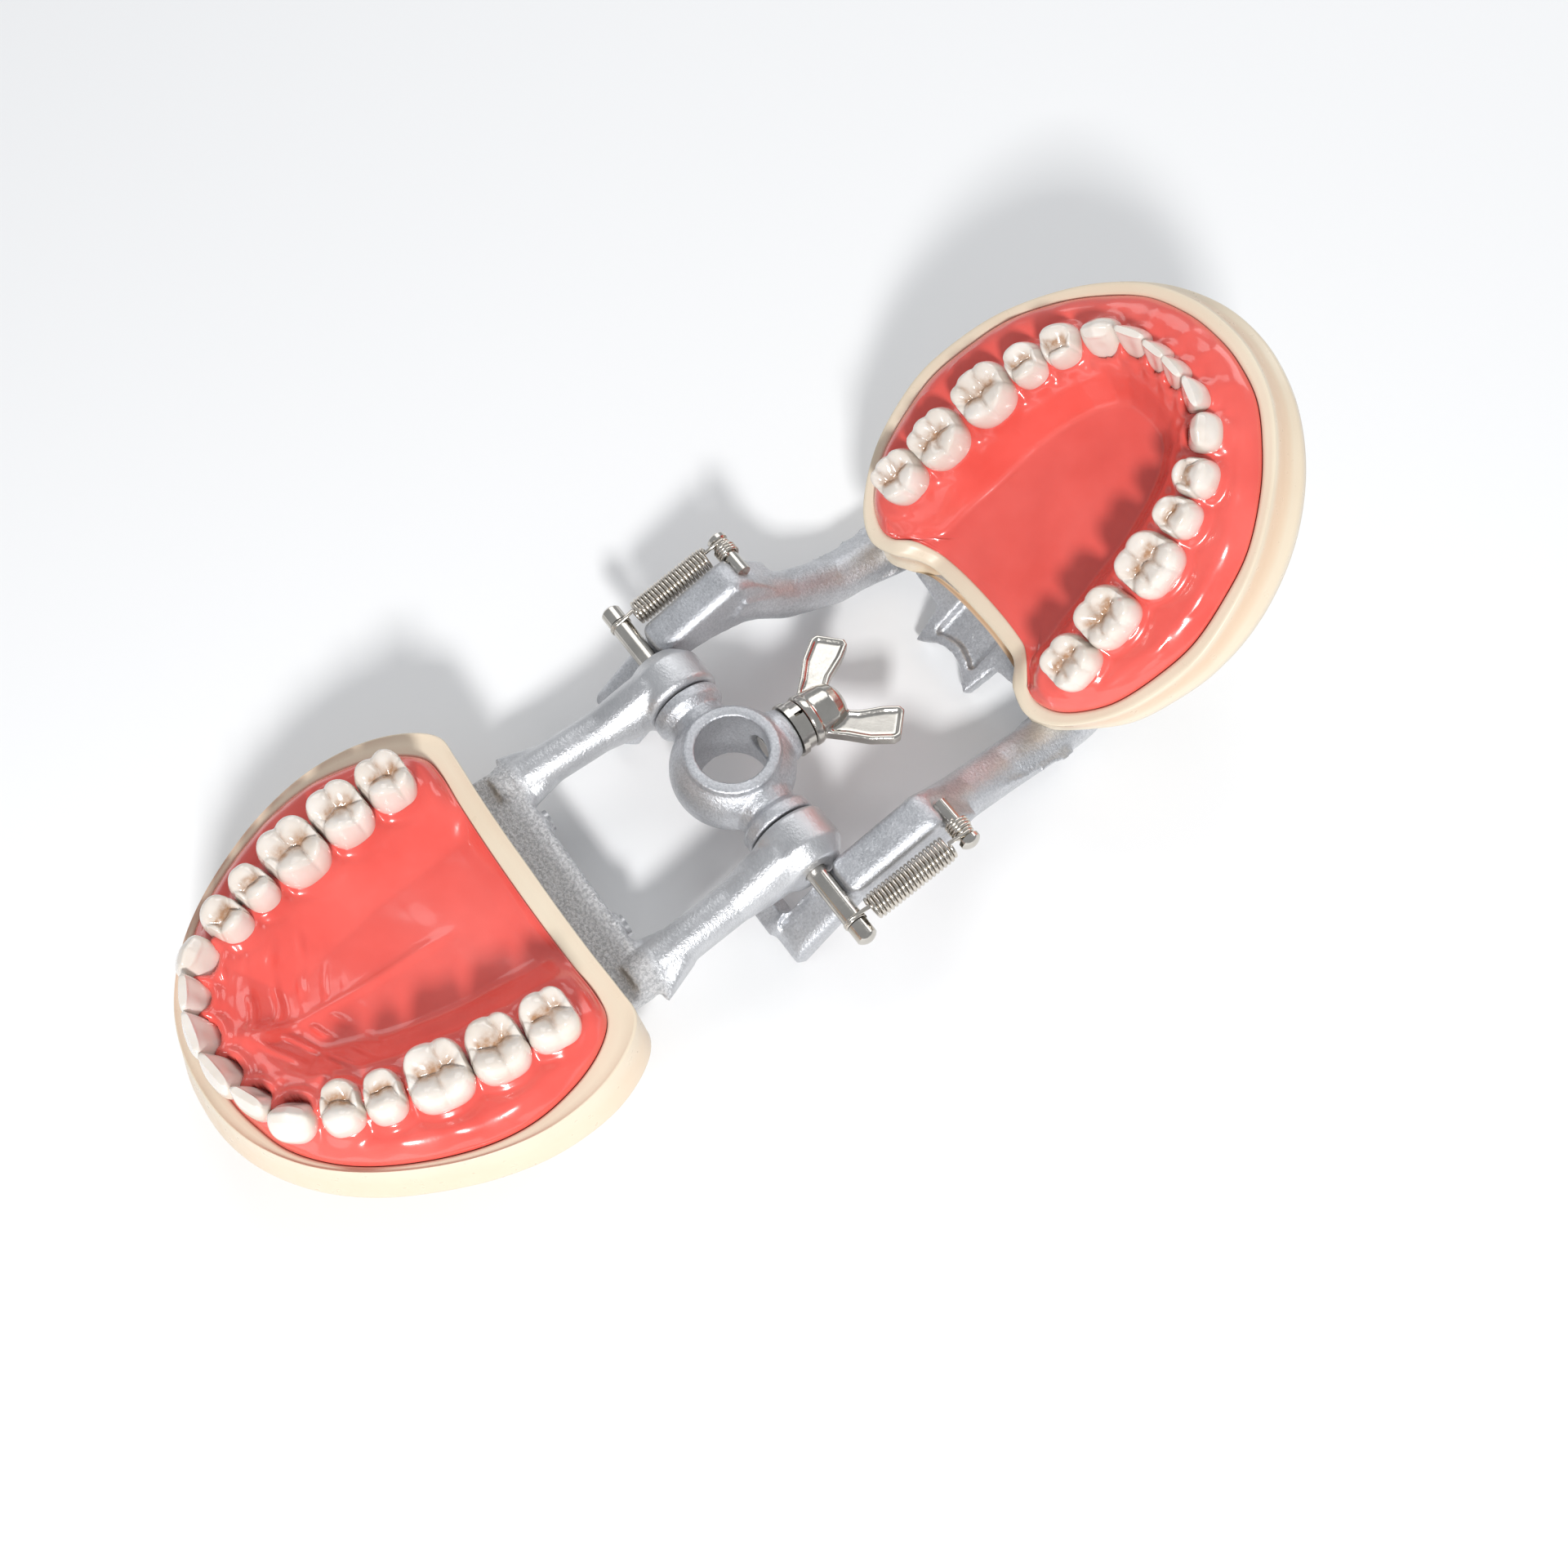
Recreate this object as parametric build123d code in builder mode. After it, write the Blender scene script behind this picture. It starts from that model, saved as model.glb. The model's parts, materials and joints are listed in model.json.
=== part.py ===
from build123d import *
import os
from math import asin, atan2, cos, degrees, radians, sin

# Typodont: a maxilla and a mandible with removable teeth, each on a cast metal frame.
# The frames meet on two pins in a bored hub that clamps on the rod of a training head.
# Origin: centre of the hub's bore, on the hinge line. +X along the hinge line, to the
# patient's right; +Y from the hub towards the mandible; +Z up, along the bore.
# At rest the jaws lie fully open, with the cutting faces of all teeth upwards.

os.makedirs("parts", exist_ok=True)

# Hinge and jaw planes
open_tilt = 40  # mandible plane above the maxilla plane, against the open stop
cusp_height = 20.0  # cusp plane above the hinge line, in either jaw
upper = Plane(origin=(0, 0, 0), x_dir=(-1, 0, 0), z_dir=(0, 0, 1))
lower = Plane(
    origin=(0, 0, 0),
    x_dir=(1, 0, 0),
    z_dir=(0, -sin(radians(open_tilt)), cos(radians(open_tilt))),
)
lower_forward = lower.y_dir

# Hub, pins and clamp
bore_radius = 6.75
hub_half_height = 7.6
collar_radius = 9.0
ball_radius = 11.8
trunnion_end = 15.6
pin_radius = 2.0
pin_inner = 9.4
pin_outer = 42.0
groove_at = 37.4
running_gap = 0.05
ear_inner = 16.0
ear_outer = 25.8
ear_radius = 7.8
boss_end = 12.6
screw_radius = 2.9
washer_gap = 0.1

# Maxilla frame: rear bar, plate under the base, round arms to the ears
bar_back = 33.5
bar_half_width = 26.4
bar_top = -1.8
bar_thickness = 5.0
arm_radius = 4.0
upper_plate_front = 88.0

# Mandible frame: crown-shaped plate, goosenecks, forks under the pins
plate_top = -42.0
plate_thickness = 4.0
neck_radius = 4.7
fork_inner = 26.2
fork_outer = 34.0
fork_end = 16.6
fork_floor = -7.5
seat_gap = 0.3
foot_inner = 21.5
foot_length = 4.6
foot_top = -2.6

# Springs from the groove in each pin to a stud on the fork
stud_forward, stud_height = 22.4, -10.4
stud_radius = 1.5
stud_depth = 4.0
stud_end = 40.2
spring_radius = 2.3
spring_wire = 0.65
stud_place = (stud_forward * cos(radians(open_tilt)) - stud_height * sin(radians(open_tilt)),
              stud_forward * sin(radians(open_tilt)) + stud_height * cos(radians(open_tilt)))

# Jaw bases and gums, as heights above the hinge line in the jaw's own plane
upper_base_floor, upper_rim = bar_top, 9.0
upper_pocket, upper_palate, upper_gum_top = 3.0, 6.0, 12.4
lower_base_floor, lower_rim = plate_top, -30.5
lower_pocket, lower_tongue, lower_gum_top = -37.0, -35.0, -27.4

# Fasteners
tooth_screw_radius = 0.8
tooth_screw_head = 1.7
jaw_screw_radius = 1.5
jaw_screw_head = 2.8

# Each tooth: distance from the midline, distance ahead of the hinge line, width along the
# arch, depth across it, share of the width and of the depth left at the cutting face
upper_teeth = {
    "central_incisor": (3.8, 101.4, 7.3, 6.2, 0.94, 0.30),
    "lateral_incisor": (10.6, 99.3, 6.3, 5.6, 0.92, 0.32),
    "canine": (16.5, 95.65, 7.2, 7.6, 0.45, 0.35),
    "first_premolar": (19.3, 88.3, 6.7, 8.8, 0.66, 0.72),
    "second_premolar": (21.7, 82.0, 6.3, 8.6, 0.68, 0.72),
    "first_molar": (23.7, 73.35, 10.2, 11.2, 0.78, 0.78),
    "second_molar": (25.35, 63.5, 9.2, 10.8, 0.76, 0.76),
    "third_molar": (26.2, 54.2, 8.8, 9.8, 0.74, 0.74),
}
lower_teeth = {
    "central_incisor": (2.3, 101.8, 4.4, 5.8, 0.95, 0.28),
    "lateral_incisor": (7.84, 101.0, 5.6, 6.0, 0.94, 0.28),
    "canine": (13.35, 97.5, 6.6, 7.2, 0.48, 0.35),
    "first_premolar": (17.8, 91.3, 7.0, 7.6, 0.62, 0.66),
    "second_premolar": (20.4, 84.6, 6.9, 8.0, 0.68, 0.70),
    "first_molar": (22.7, 75.6, 11.0, 10.6, 0.78, 0.76),
    "second_molar": (23.8, 64.0, 10.6, 10.2, 0.77, 0.75),
    "third_molar": (24.8, 53.8, 9.4, 9.4, 0.75, 0.74),
}


def dome_middle(start, end, radius):
    """Halfway point of a dome that rises from radius at start to the axis at end."""
    curve = (radius**2 + (end - start) ** 2) / (2 * (end - start))
    half = asin(radius / curve) / 2
    return end - curve + curve * cos(half), curve * sin(half)


def save(part, name):
    """Label a finished piece and write it as its own STEP file."""
    part.part.label = name
    export_step(part.part, f"parts/{name}.step")


def arch_face(plane, corner, side, shoulder, front, back_bow=0.0):
    """A jaw outline on a plane: gently bowed back, full sides, round front."""
    back = corner[1] + back_bow
    with BuildSketch(plane) as face:
        with BuildLine():
            ThreePointArc((-corner[0], corner[1]), (0, back), corner)
            Spline(corner, side, shoulder, (0, front), (-shoulder[0], shoulder[1]),
                   (-side[0], side[1]), (-corner[0], corner[1]))
        make_face()
    return face.sketch


def tooth_places(teeth):
    """Every tooth of a jaw as name, side, place, turn and sizes, the turn along the arch."""
    names = list(teeth)
    for i, name in enumerate(names):
        x, y = teeth[name][:2]
        if i == 0:
            ahead = (-x, y)
        else:
            ahead = teeth[names[i - 1]][:2]
        behind = teeth[names[min(i + 1, len(names) - 1)]][:2]
        turn = degrees(atan2(behind[1] - ahead[1], behind[0] - ahead[0]))
        for side in (1, -1):
            yield name, side, (side * x, y), side * turn, teeth[name][2:]


def make_tooth(plane, place, turn, sizes, gum_top, root_end):
    """Crown lofted from neck to cutting face, on a round tapered root peg."""
    width, depth, top_width, top_depth = sizes
    cusp = cusp_height if plane is upper else -cusp_height
    neck = gum_top - 1.2
    belly = neck + 0.45 * (cusp - neck)
    sections = ((neck, 0.80, 0.84), (belly, 1.0, 1.0), (cusp, top_width, top_depth))
    with BuildPart() as tooth:
        for height, along, across in sections:
            with BuildSketch(plane.offset(height)):
                with Locations(Location(place, turn)):
                    w, d = width * along, depth * across
                    RectangleRounded(w, d, 0.46 * min(w, d))
        loft()
        peg = 0.36 * min(width, depth)
        with BuildSketch(plane.offset(root_end)):
            with Locations(place):
                Circle(0.8 * peg)
        with BuildSketch(plane.offset(neck)):
            with Locations(place):
                Circle(peg)
        loft()
    return tooth.part


def make_jaw(jaw, plane, teeth, base_floor, pocket, rim, gum_top,
             base_faces, gum_faces, hollow_faces, relief=()):
    """One jaw: base cut to clear the frame, gum, sixteen teeth and the screws under them."""
    root_end = base_floor + 3.2
    head_top = base_floor + 1.3
    places = [place for _, _, place, _, _ in tooth_places(teeth)]
    blanks = []
    screws = []
    for name, side, place, turn, sizes in tooth_places(teeth):
        blank = make_tooth(plane, place, turn, sizes, gum_top, root_end)
        blanks.append(blank)
        with BuildPart() as screw:
            with BuildSketch(plane.offset(head_top)):
                with Locations(place):
                    Circle(tooth_screw_radius)
            extrude(amount=5.5)
            with BuildSketch(plane.offset(base_floor + 0.2)):
                with Locations(place):
                    Circle(tooth_screw_head)
            extrude(amount=head_top - base_floor - 0.2)
        screws.append(screw.part)
        with BuildPart() as tooth:
            add(blank)
            add(screw.part, mode=Mode.SUBTRACT)
        side_name = "right" if (side > 0) == (plane is lower) else "left"
        save(tooth, f"{jaw}_{side_name}_{name}")

    with BuildPart() as tooth_screws:
        for screw in screws:
            add(screw)
        with BuildSketch(plane.offset(base_floor + 0.2)):
            with Locations(*places):
                Rectangle(0.5, 2.4)
        extrude(amount=0.6, mode=Mode.SUBTRACT)
    save(tooth_screws, f"{jaw}_tooth_screws")

    with BuildPart() as gum:
        extrude(gum_faces[0], amount=rim - pocket)
        loft([gum_faces[1], gum_faces[2]])
        loft(hollow_faces, mode=Mode.SUBTRACT)
        for blank in blanks:
            add(blank, mode=Mode.SUBTRACT)
    save(gum, f"{jaw}_gum")

    with BuildPart() as base:
        loft(base_faces)
        extrude(gum_faces[0], amount=rim - pocket + 1, mode=Mode.SUBTRACT)
        for arm in relief:
            add(arm, mode=Mode.SUBTRACT)
        for blank, screw in zip(blanks, screws):
            add(blank, mode=Mode.SUBTRACT)
            add(screw, mode=Mode.SUBTRACT)
        with BuildSketch(plane.offset(base_floor)):
            with Locations(*places):
                Circle(tooth_screw_head)
        extrude(amount=0.2, mode=Mode.SUBTRACT)
        with BuildSketch(plane.offset(base_floor)):
            with Locations(*jaw_screw_places):
                Circle(jaw_screw_radius)
        extrude(amount=4, mode=Mode.SUBTRACT)
    save(base, f"{jaw}_base")


# Screws that hold each base on its frame, in the jaw's plane
jaw_screw_places = ((0, 52), (-11, 80), (11, 80))

# Outlines of the maxilla: base foot, base rim, gum edge, gum crest and palate
upper_base_faces = [
    arch_face(upper.offset(upper_base_floor), (34.0, 40.3), (41.4, 60), (31.5, 89.5), 108.5, 0.8),
    arch_face(upper.offset(upper_rim), (31.6, 40.8), (39.9, 60), (30.2, 88.5), 106.0, 1.2),
]
upper_gum_faces = [
    arch_face(upper.offset(upper_pocket), (28.4, 44.4), (36.8, 61), (27.6, 87.0), 103.0, 1.4),
    arch_face(upper.offset(upper_rim), (28.4, 44.4), (36.8, 61), (27.6, 87.0), 103.0, 1.4),
    arch_face(upper.offset(upper_gum_top), (27.0, 46.5), (33.2, 61), (25.6, 86.0), 100.8, 1.4),
]
upper_hollow_faces = [
    arch_face(upper.offset(upper_palate), (13.0, 49.0), (16.0, 62), (12.0, 78.0), 88.0, 1.4),
    arch_face(upper.offset(upper_gum_top + 1), (19.0, 36.0), (19.5, 62), (15.0, 84.0), 95.0, 1.4),
]
make_jaw("upper", upper, upper_teeth, upper_base_floor, upper_pocket, upper_rim,
         upper_gum_top, upper_base_faces, upper_gum_faces, upper_hollow_faces)

# Goosenecks: round arms that rise from under the mandible's back corners to the forks
with BuildPart() as gooseneck:
    with BuildLine(lower):
        neck_line = FilletPolyline((25.6, 52, -47.2), (26.2, 40.5, -46.6), (26.3, 27, -34.2),
                                  (27.6, 20.6, -24),
                                   (29.6, 17, -11), radius=7)
    with BuildSketch(Plane(origin=neck_line @ 0, z_dir=neck_line % 0)):
        Circle(neck_radius)
    sweep(path=neck_line)
goosenecks = (gooseneck.part, mirror(gooseneck.part, about=Plane.YZ))

# Outlines of the mandible, in the same order, with a deeper floor under the tongue
lower_base_faces = [
    arch_face(lower.offset(lower_base_floor), (24.0, 36.8), (40.6, 69), (32.4, 96.4), 114.9, 4.4),
    arch_face(lower.offset(lower_rim), (27.5, 39.8), (39.6, 66), (30.5, 93.5), 113.0, 4.6),
]
lower_gum_faces = [
    arch_face(lower.offset(lower_pocket), (25.5, 43.2), (36.4, 66), (27.6, 93.0), 109.6, 4.0),
    arch_face(lower.offset(lower_rim), (25.5, 43.2), (36.4, 66), (27.6, 93.0), 109.6, 4.0),
    arch_face(lower.offset(lower_gum_top), (25.0, 45.5), (30.5, 66), (23.6, 91.0), 105.4, 4.0),
]
lower_hollow_faces = [
    arch_face(lower.offset(lower_tongue), (14.0, 51.0), (14.5, 66), (10.0, 82.0), 91.0, 1.0),
    arch_face(lower.offset(lower_gum_top + 1), (18.0, 38.0), (17.6, 66), (13.0, 88.0), 97.0, 1.0),
]
make_jaw("lower", lower, lower_teeth, lower_base_floor, lower_pocket, lower_rim,
         lower_gum_top, lower_base_faces, lower_gum_faces, lower_hollow_faces, relief=goosenecks)

# Maxilla frame: bar and plate in one slab, round arms, ears bored for the pins
with BuildPart() as upper_frame:
    with BuildSketch(upper.offset(bar_top - bar_thickness)):
        with BuildLine():
            Polyline((-bar_half_width, bar_back), (bar_half_width, bar_back),
                     (bar_half_width, bar_back + 9),
                     (18, upper_plate_front - 10), (0, upper_plate_front), (-18, upper_plate_front - 10),
                     (-bar_half_width, bar_back + 9), (-bar_half_width, bar_back))
        make_face()
    extrude(amount=bar_thickness)
    fillet(upper_frame.edges().filter_by(Axis.Z), 2.5)
    with BuildLine():
        upper_arm = Line((22.4, -bar_back - 4, bar_top - 2.2), (20.8, -3, 0))
    with BuildSketch(Plane(origin=upper_arm @ 0, z_dir=upper_arm % 0)):
        Circle(arm_radius)
    sweep(path=upper_arm)
    with BuildSketch(Plane.XY):
        with BuildLine():
            Polyline((ear_inner, 0), (ear_inner, ear_radius - 0.8), (ear_inner + 0.8, ear_radius),
                     (ear_outer - 3, ear_radius), (ear_outer, ear_radius - 2.4), (ear_outer, 0),
                      (ear_inner, 0))
        make_face()
    revolve(axis=Axis.X)
    mirror(about=Plane.YZ)
    with BuildSketch(Plane.YZ.offset(-ear_outer - 1)):
        Circle(pin_radius)
    extrude(amount=2 * (ear_outer + 1), mode=Mode.SUBTRACT)
    with BuildSketch(upper.offset(bar_top - bar_thickness)):
        with Locations(*jaw_screw_places):
            Circle(jaw_screw_radius)
    extrude(amount=bar_thickness, mode=Mode.SUBTRACT)
    with BuildSketch(upper.offset(bar_top - bar_thickness)):
        with Locations(*jaw_screw_places):
            Circle(jaw_screw_head)
    extrude(amount=2.2, mode=Mode.SUBTRACT)
    with BuildSketch(Plane.XZ.offset(bar_back)):
        with Locations((-12.7, bar_top - 2.4), (12.7, bar_top - 2.4)):
            Circle(1.25)
    extrude(amount=8, mode=Mode.SUBTRACT)
save(upper_frame, "upper_frame")

# Mandible frame: crown-shaped plate, two goosenecks, a fork under each pin
with BuildPart() as lower_frame:
    with BuildSketch(lower.offset(plate_top - plate_thickness)):
        with BuildLine():
            Polyline((5.7, 30.6), (7.7, 29.3), (8.9, 37.5), (17.6, 38.6), (19, 44), (27, 50),
                     (20, 88), (0, 97),
                     (-20, 88), (-27, 50), (-19, 44), (-17.6, 38.6),
                     (-8.9, 37.5), (-7.7, 29.3), (-5.7, 30.6))
            ThreePointArc((-5.7, 30.6), (0, 33.2), (5.7, 30.6))
        make_face()
    extrude(amount=plate_thickness)
    add(goosenecks[0])
    with BuildSketch(Plane(origin=(fork_inner, 0, 0), x_dir=lower_forward, z_dir=(1, 0, 0))):
        with BuildLine():
            Polyline((-fork_end, fork_floor), (-fork_end, -4.2), (-fork_end + 2, -pin_radius - seat_gap),
                     (pin_radius + seat_gap, -pin_radius - seat_gap), (pin_radius + seat_gap, -0.6),
                     (pin_radius + 1.6, 0.6), (21.7, -6), (22.6, -9), (23.4, -20), (16, -20), (9, -11.4),
                     (3, fork_floor), (-fork_end, fork_floor))
        make_face()
    extrude(amount=fork_outer - fork_inner)
    with BuildSketch(Plane(origin=(foot_inner, 0, 0), x_dir=lower_forward, z_dir=(1, 0, 0))):
        with Locations((-fork_end, fork_floor)):
            Rectangle(foot_length, foot_top - fork_floor, align=(Align.MIN, Align.MIN))
    extrude(amount=fork_inner - foot_inner + 1)
    mirror(about=Plane.YZ)
    with BuildSketch(lower.offset(plate_top - 1.8)):
        with BuildLine():
            Polyline((5.6, 33), (5.6, 43), (-5.6, 43), (-5.6, 33))
            ThreePointArc((-5.6, 33), (0, 35.4), (5.6, 33))
        make_face()
    extrude(amount=2, mode=Mode.SUBTRACT)
    for depth, radius in ((plate_thickness, jaw_screw_radius), (2.2, jaw_screw_head)):
        with BuildSketch(lower.offset(plate_top - plate_thickness)):
            with Locations(*jaw_screw_places):
                Circle(radius)
        extrude(amount=depth, mode=Mode.SUBTRACT)
    with BuildSketch(Plane.YZ.offset(-fork_outer - 1)):
        with Locations(stud_place):
            Circle(stud_radius)
    extrude(amount=1 + stud_depth, mode=Mode.SUBTRACT)
    with BuildSketch(Plane.YZ.offset(fork_outer - stud_depth)):
        with Locations(stud_place):
            Circle(stud_radius)
    extrude(amount=1 + stud_depth, mode=Mode.SUBTRACT)
save(lower_frame, "lower_frame")

# Hub: bored ball with a collar above and below, flared trunnions, and the clamp boss
with BuildPart() as hub:
    with BuildSketch(Plane.XZ):
        with BuildLine():
            Polyline((0, -hub_half_height), (collar_radius, -hub_half_height), (collar_radius, -6.4))
            ThreePointArc((collar_radius, -6.4), (ball_radius, 0), (collar_radius, 6.4))
            Polyline((collar_radius, 6.4), (collar_radius, hub_half_height), (0, hub_half_height),
                     (0, -hub_half_height))
        make_face()
    revolve(axis=Axis.Z)
    with BuildSketch(Plane.XY):
        with BuildLine():
            Polyline((0, 0), (0, 5.6), (8, 5.6), (11.6, 5.2), (13.4, 7.0), (trunnion_end, 7.0),
                     (trunnion_end, 0),
                     (0, 0))
        make_face()
    revolve(axis=Axis.X)
    mirror(about=Plane.YZ)
    with BuildSketch(Plane.XY):
        with BuildLine():
            Polyline((0, 0), (5.4, 0), (5.4, 11), (4.9, boss_end), (0, boss_end), (0, 0))
        make_face()
    revolve(axis=Axis.Y)
    with BuildSketch(Plane.XY.offset(-hub_half_height)):
        Circle(bore_radius)
    extrude(amount=2 * hub_half_height, mode=Mode.SUBTRACT)
    with BuildSketch(Plane.XZ):
        Circle(screw_radius + running_gap)
    extrude(amount=-boss_end, mode=Mode.SUBTRACT)
    with BuildSketch(Plane.YZ.offset(pin_inner - 0.2)):
        Circle(pin_radius + running_gap)
    extrude(amount=trunnion_end, mode=Mode.SUBTRACT)
    with BuildSketch(Plane.YZ.offset(-pin_inner + 0.2)):
        Circle(pin_radius + running_gap)
    extrude(amount=-trunnion_end, mode=Mode.SUBTRACT)
save(hub, "hub")

# Pins: pressed in the ears, turning in the hub, grooved for the springs, domed at the end
# Studs: pressed in the forks, with a ball end that keeps the spring's loop on
# Springs: close-wound body between an open loop round the pin and one round the stud
spring_run = Vector(0, *stud_place)
spring_way = spring_run.normalized()
for side_name, side in (("right", 1), ("left", -1)):
    with BuildPart() as pin:
        with BuildSketch(Plane.XY):
            with BuildLine():
                Polyline((pin_inner, 0), (pin_inner, pin_radius), (groove_at - 0.55, pin_radius),
                         (groove_at - 0.55, pin_radius - 0.5), (groove_at + 0.55, pin_radius - 0.5),
                         (groove_at + 0.55, pin_radius), (pin_outer - 1, pin_radius))
                ThreePointArc((pin_outer - 1, pin_radius),
                              dome_middle(pin_outer - 1, pin_outer, pin_radius),
                              (pin_outer, 0))
                Line((pin_outer, 0), (pin_inner, 0))
            make_face()
        revolve(axis=Axis.X)
        if side < 0:
            mirror(about=Plane.YZ, mode=Mode.REPLACE)
    save(pin, f"pin_{side_name}")

    with BuildPart() as stud:
        with BuildSketch(Plane.XY):
            with BuildLine():
                Polyline((fork_outer - stud_depth, 0), (fork_outer - stud_depth, stud_radius),
                         (groove_at - 0.7, stud_radius), (groove_at - 0.7, 1.1), (groove_at + 0.6, 1.1),
                         (groove_at + 0.6, 1.5), (groove_at + 1, 2), (stud_end - 1, 2))
                ThreePointArc((stud_end - 1, 2), dome_middle(stud_end - 1, stud_end, 2), (stud_end, 0))
                Line((stud_end, 0), (fork_outer - stud_depth, 0))
            make_face()
        revolve(axis=Axis.X)
        if side < 0:
            mirror(about=Plane.YZ, mode=Mode.REPLACE)
    stud.part = stud.part.moved(Location(spring_run))
    save(stud, f"spring_stud_{side_name}")

    with BuildPart() as spring:
        start = spring_way * 4.2 + Vector(side * groove_at, 0, 0)
        body_length = spring_run.length - 8.4
        with BuildSketch(Plane(origin=start, x_dir=(1, 0, 0), z_dir=spring_way)):
            Circle(spring_radius)
            Circle(spring_radius - spring_wire, mode=Mode.SUBTRACT)
        extrude(amount=body_length)
        loop_radius = spring_radius - spring_wire / 2
        for centre, toward in ((Vector(0, 0, 0), 1), (spring_run, -1)):
            ring = Plane(origin=centre + Vector(side * groove_at, 0, 0),
                         x_dir=spring_way * toward, z_dir=(1, 0, 0))
            with BuildSketch(Plane(origin=ring.from_local_coords((loop_radius, 0, 0)), x_dir=(1, 0, 0),
                                   z_dir=ring.y_dir)):
                Circle(spring_wire / 2)
            revolve(axis=Axis(ring.origin, (1, 0, 0)))
            with BuildSketch(Plane(origin=ring.from_local_coords((loop_radius, 0, 0)), z_dir=ring.x_dir)):
                Circle(spring_wire / 2)
            extrude(amount=4.2 - loop_radius)
            with BuildSketch(Plane(origin=ring.from_local_coords((4.2, 0, 0)), z_dir=ring.x_dir)):
                Circle(spring_radius)
            extrude(amount=spring_wire)
    save(spring, f"spring_{side_name}")

# Clamp: wing screw through the boss, with a plain and a split washer under its head
with BuildPart() as flat_washer:
    with BuildSketch(Plane.XZ.offset(-boss_end - washer_gap)):
        Circle(5.4)
        Circle(screw_radius + 0.3, mode=Mode.SUBTRACT)
    extrude(amount=-1.2)
save(flat_washer, "flat_washer")

with BuildPart() as lock_washer:
    with BuildSketch(Plane.XZ.offset(-boss_end - washer_gap - 1.2)):
        Circle(4.9)
        Circle(screw_radius + 0.3, mode=Mode.SUBTRACT)
        with Locations((0, 4)):
            Rectangle(0.7, 4, mode=Mode.SUBTRACT)
    extrude(amount=-1.8)
save(lock_washer, "lock_washer")

head_start = boss_end + 2 * washer_gap + 3.0
with BuildPart() as wing_screw:
    with BuildSketch(Plane.XY):
        with BuildLine():
            Polyline((0, bore_radius + 0.15), (screw_radius - 0.5, bore_radius + 0.15),
                     (screw_radius, bore_radius + 0.8), (screw_radius, head_start), (5.2, head_start),
                     (5.2, head_start + 1.6), (4.2, head_start + 3.2), (3.6, 22), (2.6, 24.6), (0, 25.2),
                     (0, bore_radius + 0.15))
        make_face()
    revolve(axis=Axis.Y)
    with BuildSketch(Plane.XY.offset(-1.1)):
        with BuildLine():
            Polyline((2, 18.6), (5.5, 21.2), (12.2, 25), (12.8, 26.6), (10.8, 32.6), (9.6, 33), (6.4, 28.2),
                     (2, 24.6), (2, 18.6))
        make_face()
    extrude(amount=2.2)
    mirror(about=Plane.YZ)
save(wing_screw, "wing_screw")

# Screws from below through each frame plate into the jaw base
for jaw, plane, floor in (("upper", upper, bar_top - bar_thickness),
                          ("lower", lower, plate_top - plate_thickness)):
    with BuildPart() as jaw_screws:
        for height, radius, length in ((0.2, jaw_screw_head, 2.0), (2.2, jaw_screw_radius, 5.6)):
            with BuildSketch(plane.offset(floor + height)):
                with Locations(*jaw_screw_places):
                    Circle(radius)
            extrude(amount=length)
        with BuildSketch(plane.offset(floor + 0.2)):
            with Locations(*jaw_screw_places):
                Rectangle(3.6, 0.7)
                Rectangle(0.7, 3.6)
        extrude(amount=1, mode=Mode.SUBTRACT)
    save(jaw_screws, f"{jaw}_jaw_screws")

# Clamp screws in the rear edge of the bar
with BuildPart() as clamp_screws:
    for depth, radius in ((7, 1.25), (-1.2, 2.1)):
        with BuildSketch(Plane.XZ.offset(bar_back)):
            with Locations((-12.7, bar_top - 2.4), (12.7, bar_top - 2.4)):
                Circle(radius)
        extrude(amount=depth)
save(clamp_screws, "upper_clamp_screws")
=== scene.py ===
# %% [markdown]
# # A typodont, the training jaws of a dental school
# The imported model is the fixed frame. It says where every piece stands and which body
# carries it, so the looks are built round it and nothing has to be fitted afterwards.

# %% Load the frame
import json
import math
import bmesh
import bpy
import mathutils.kdtree
import mathutils.noise
from mathutils import Matrix, Vector


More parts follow.
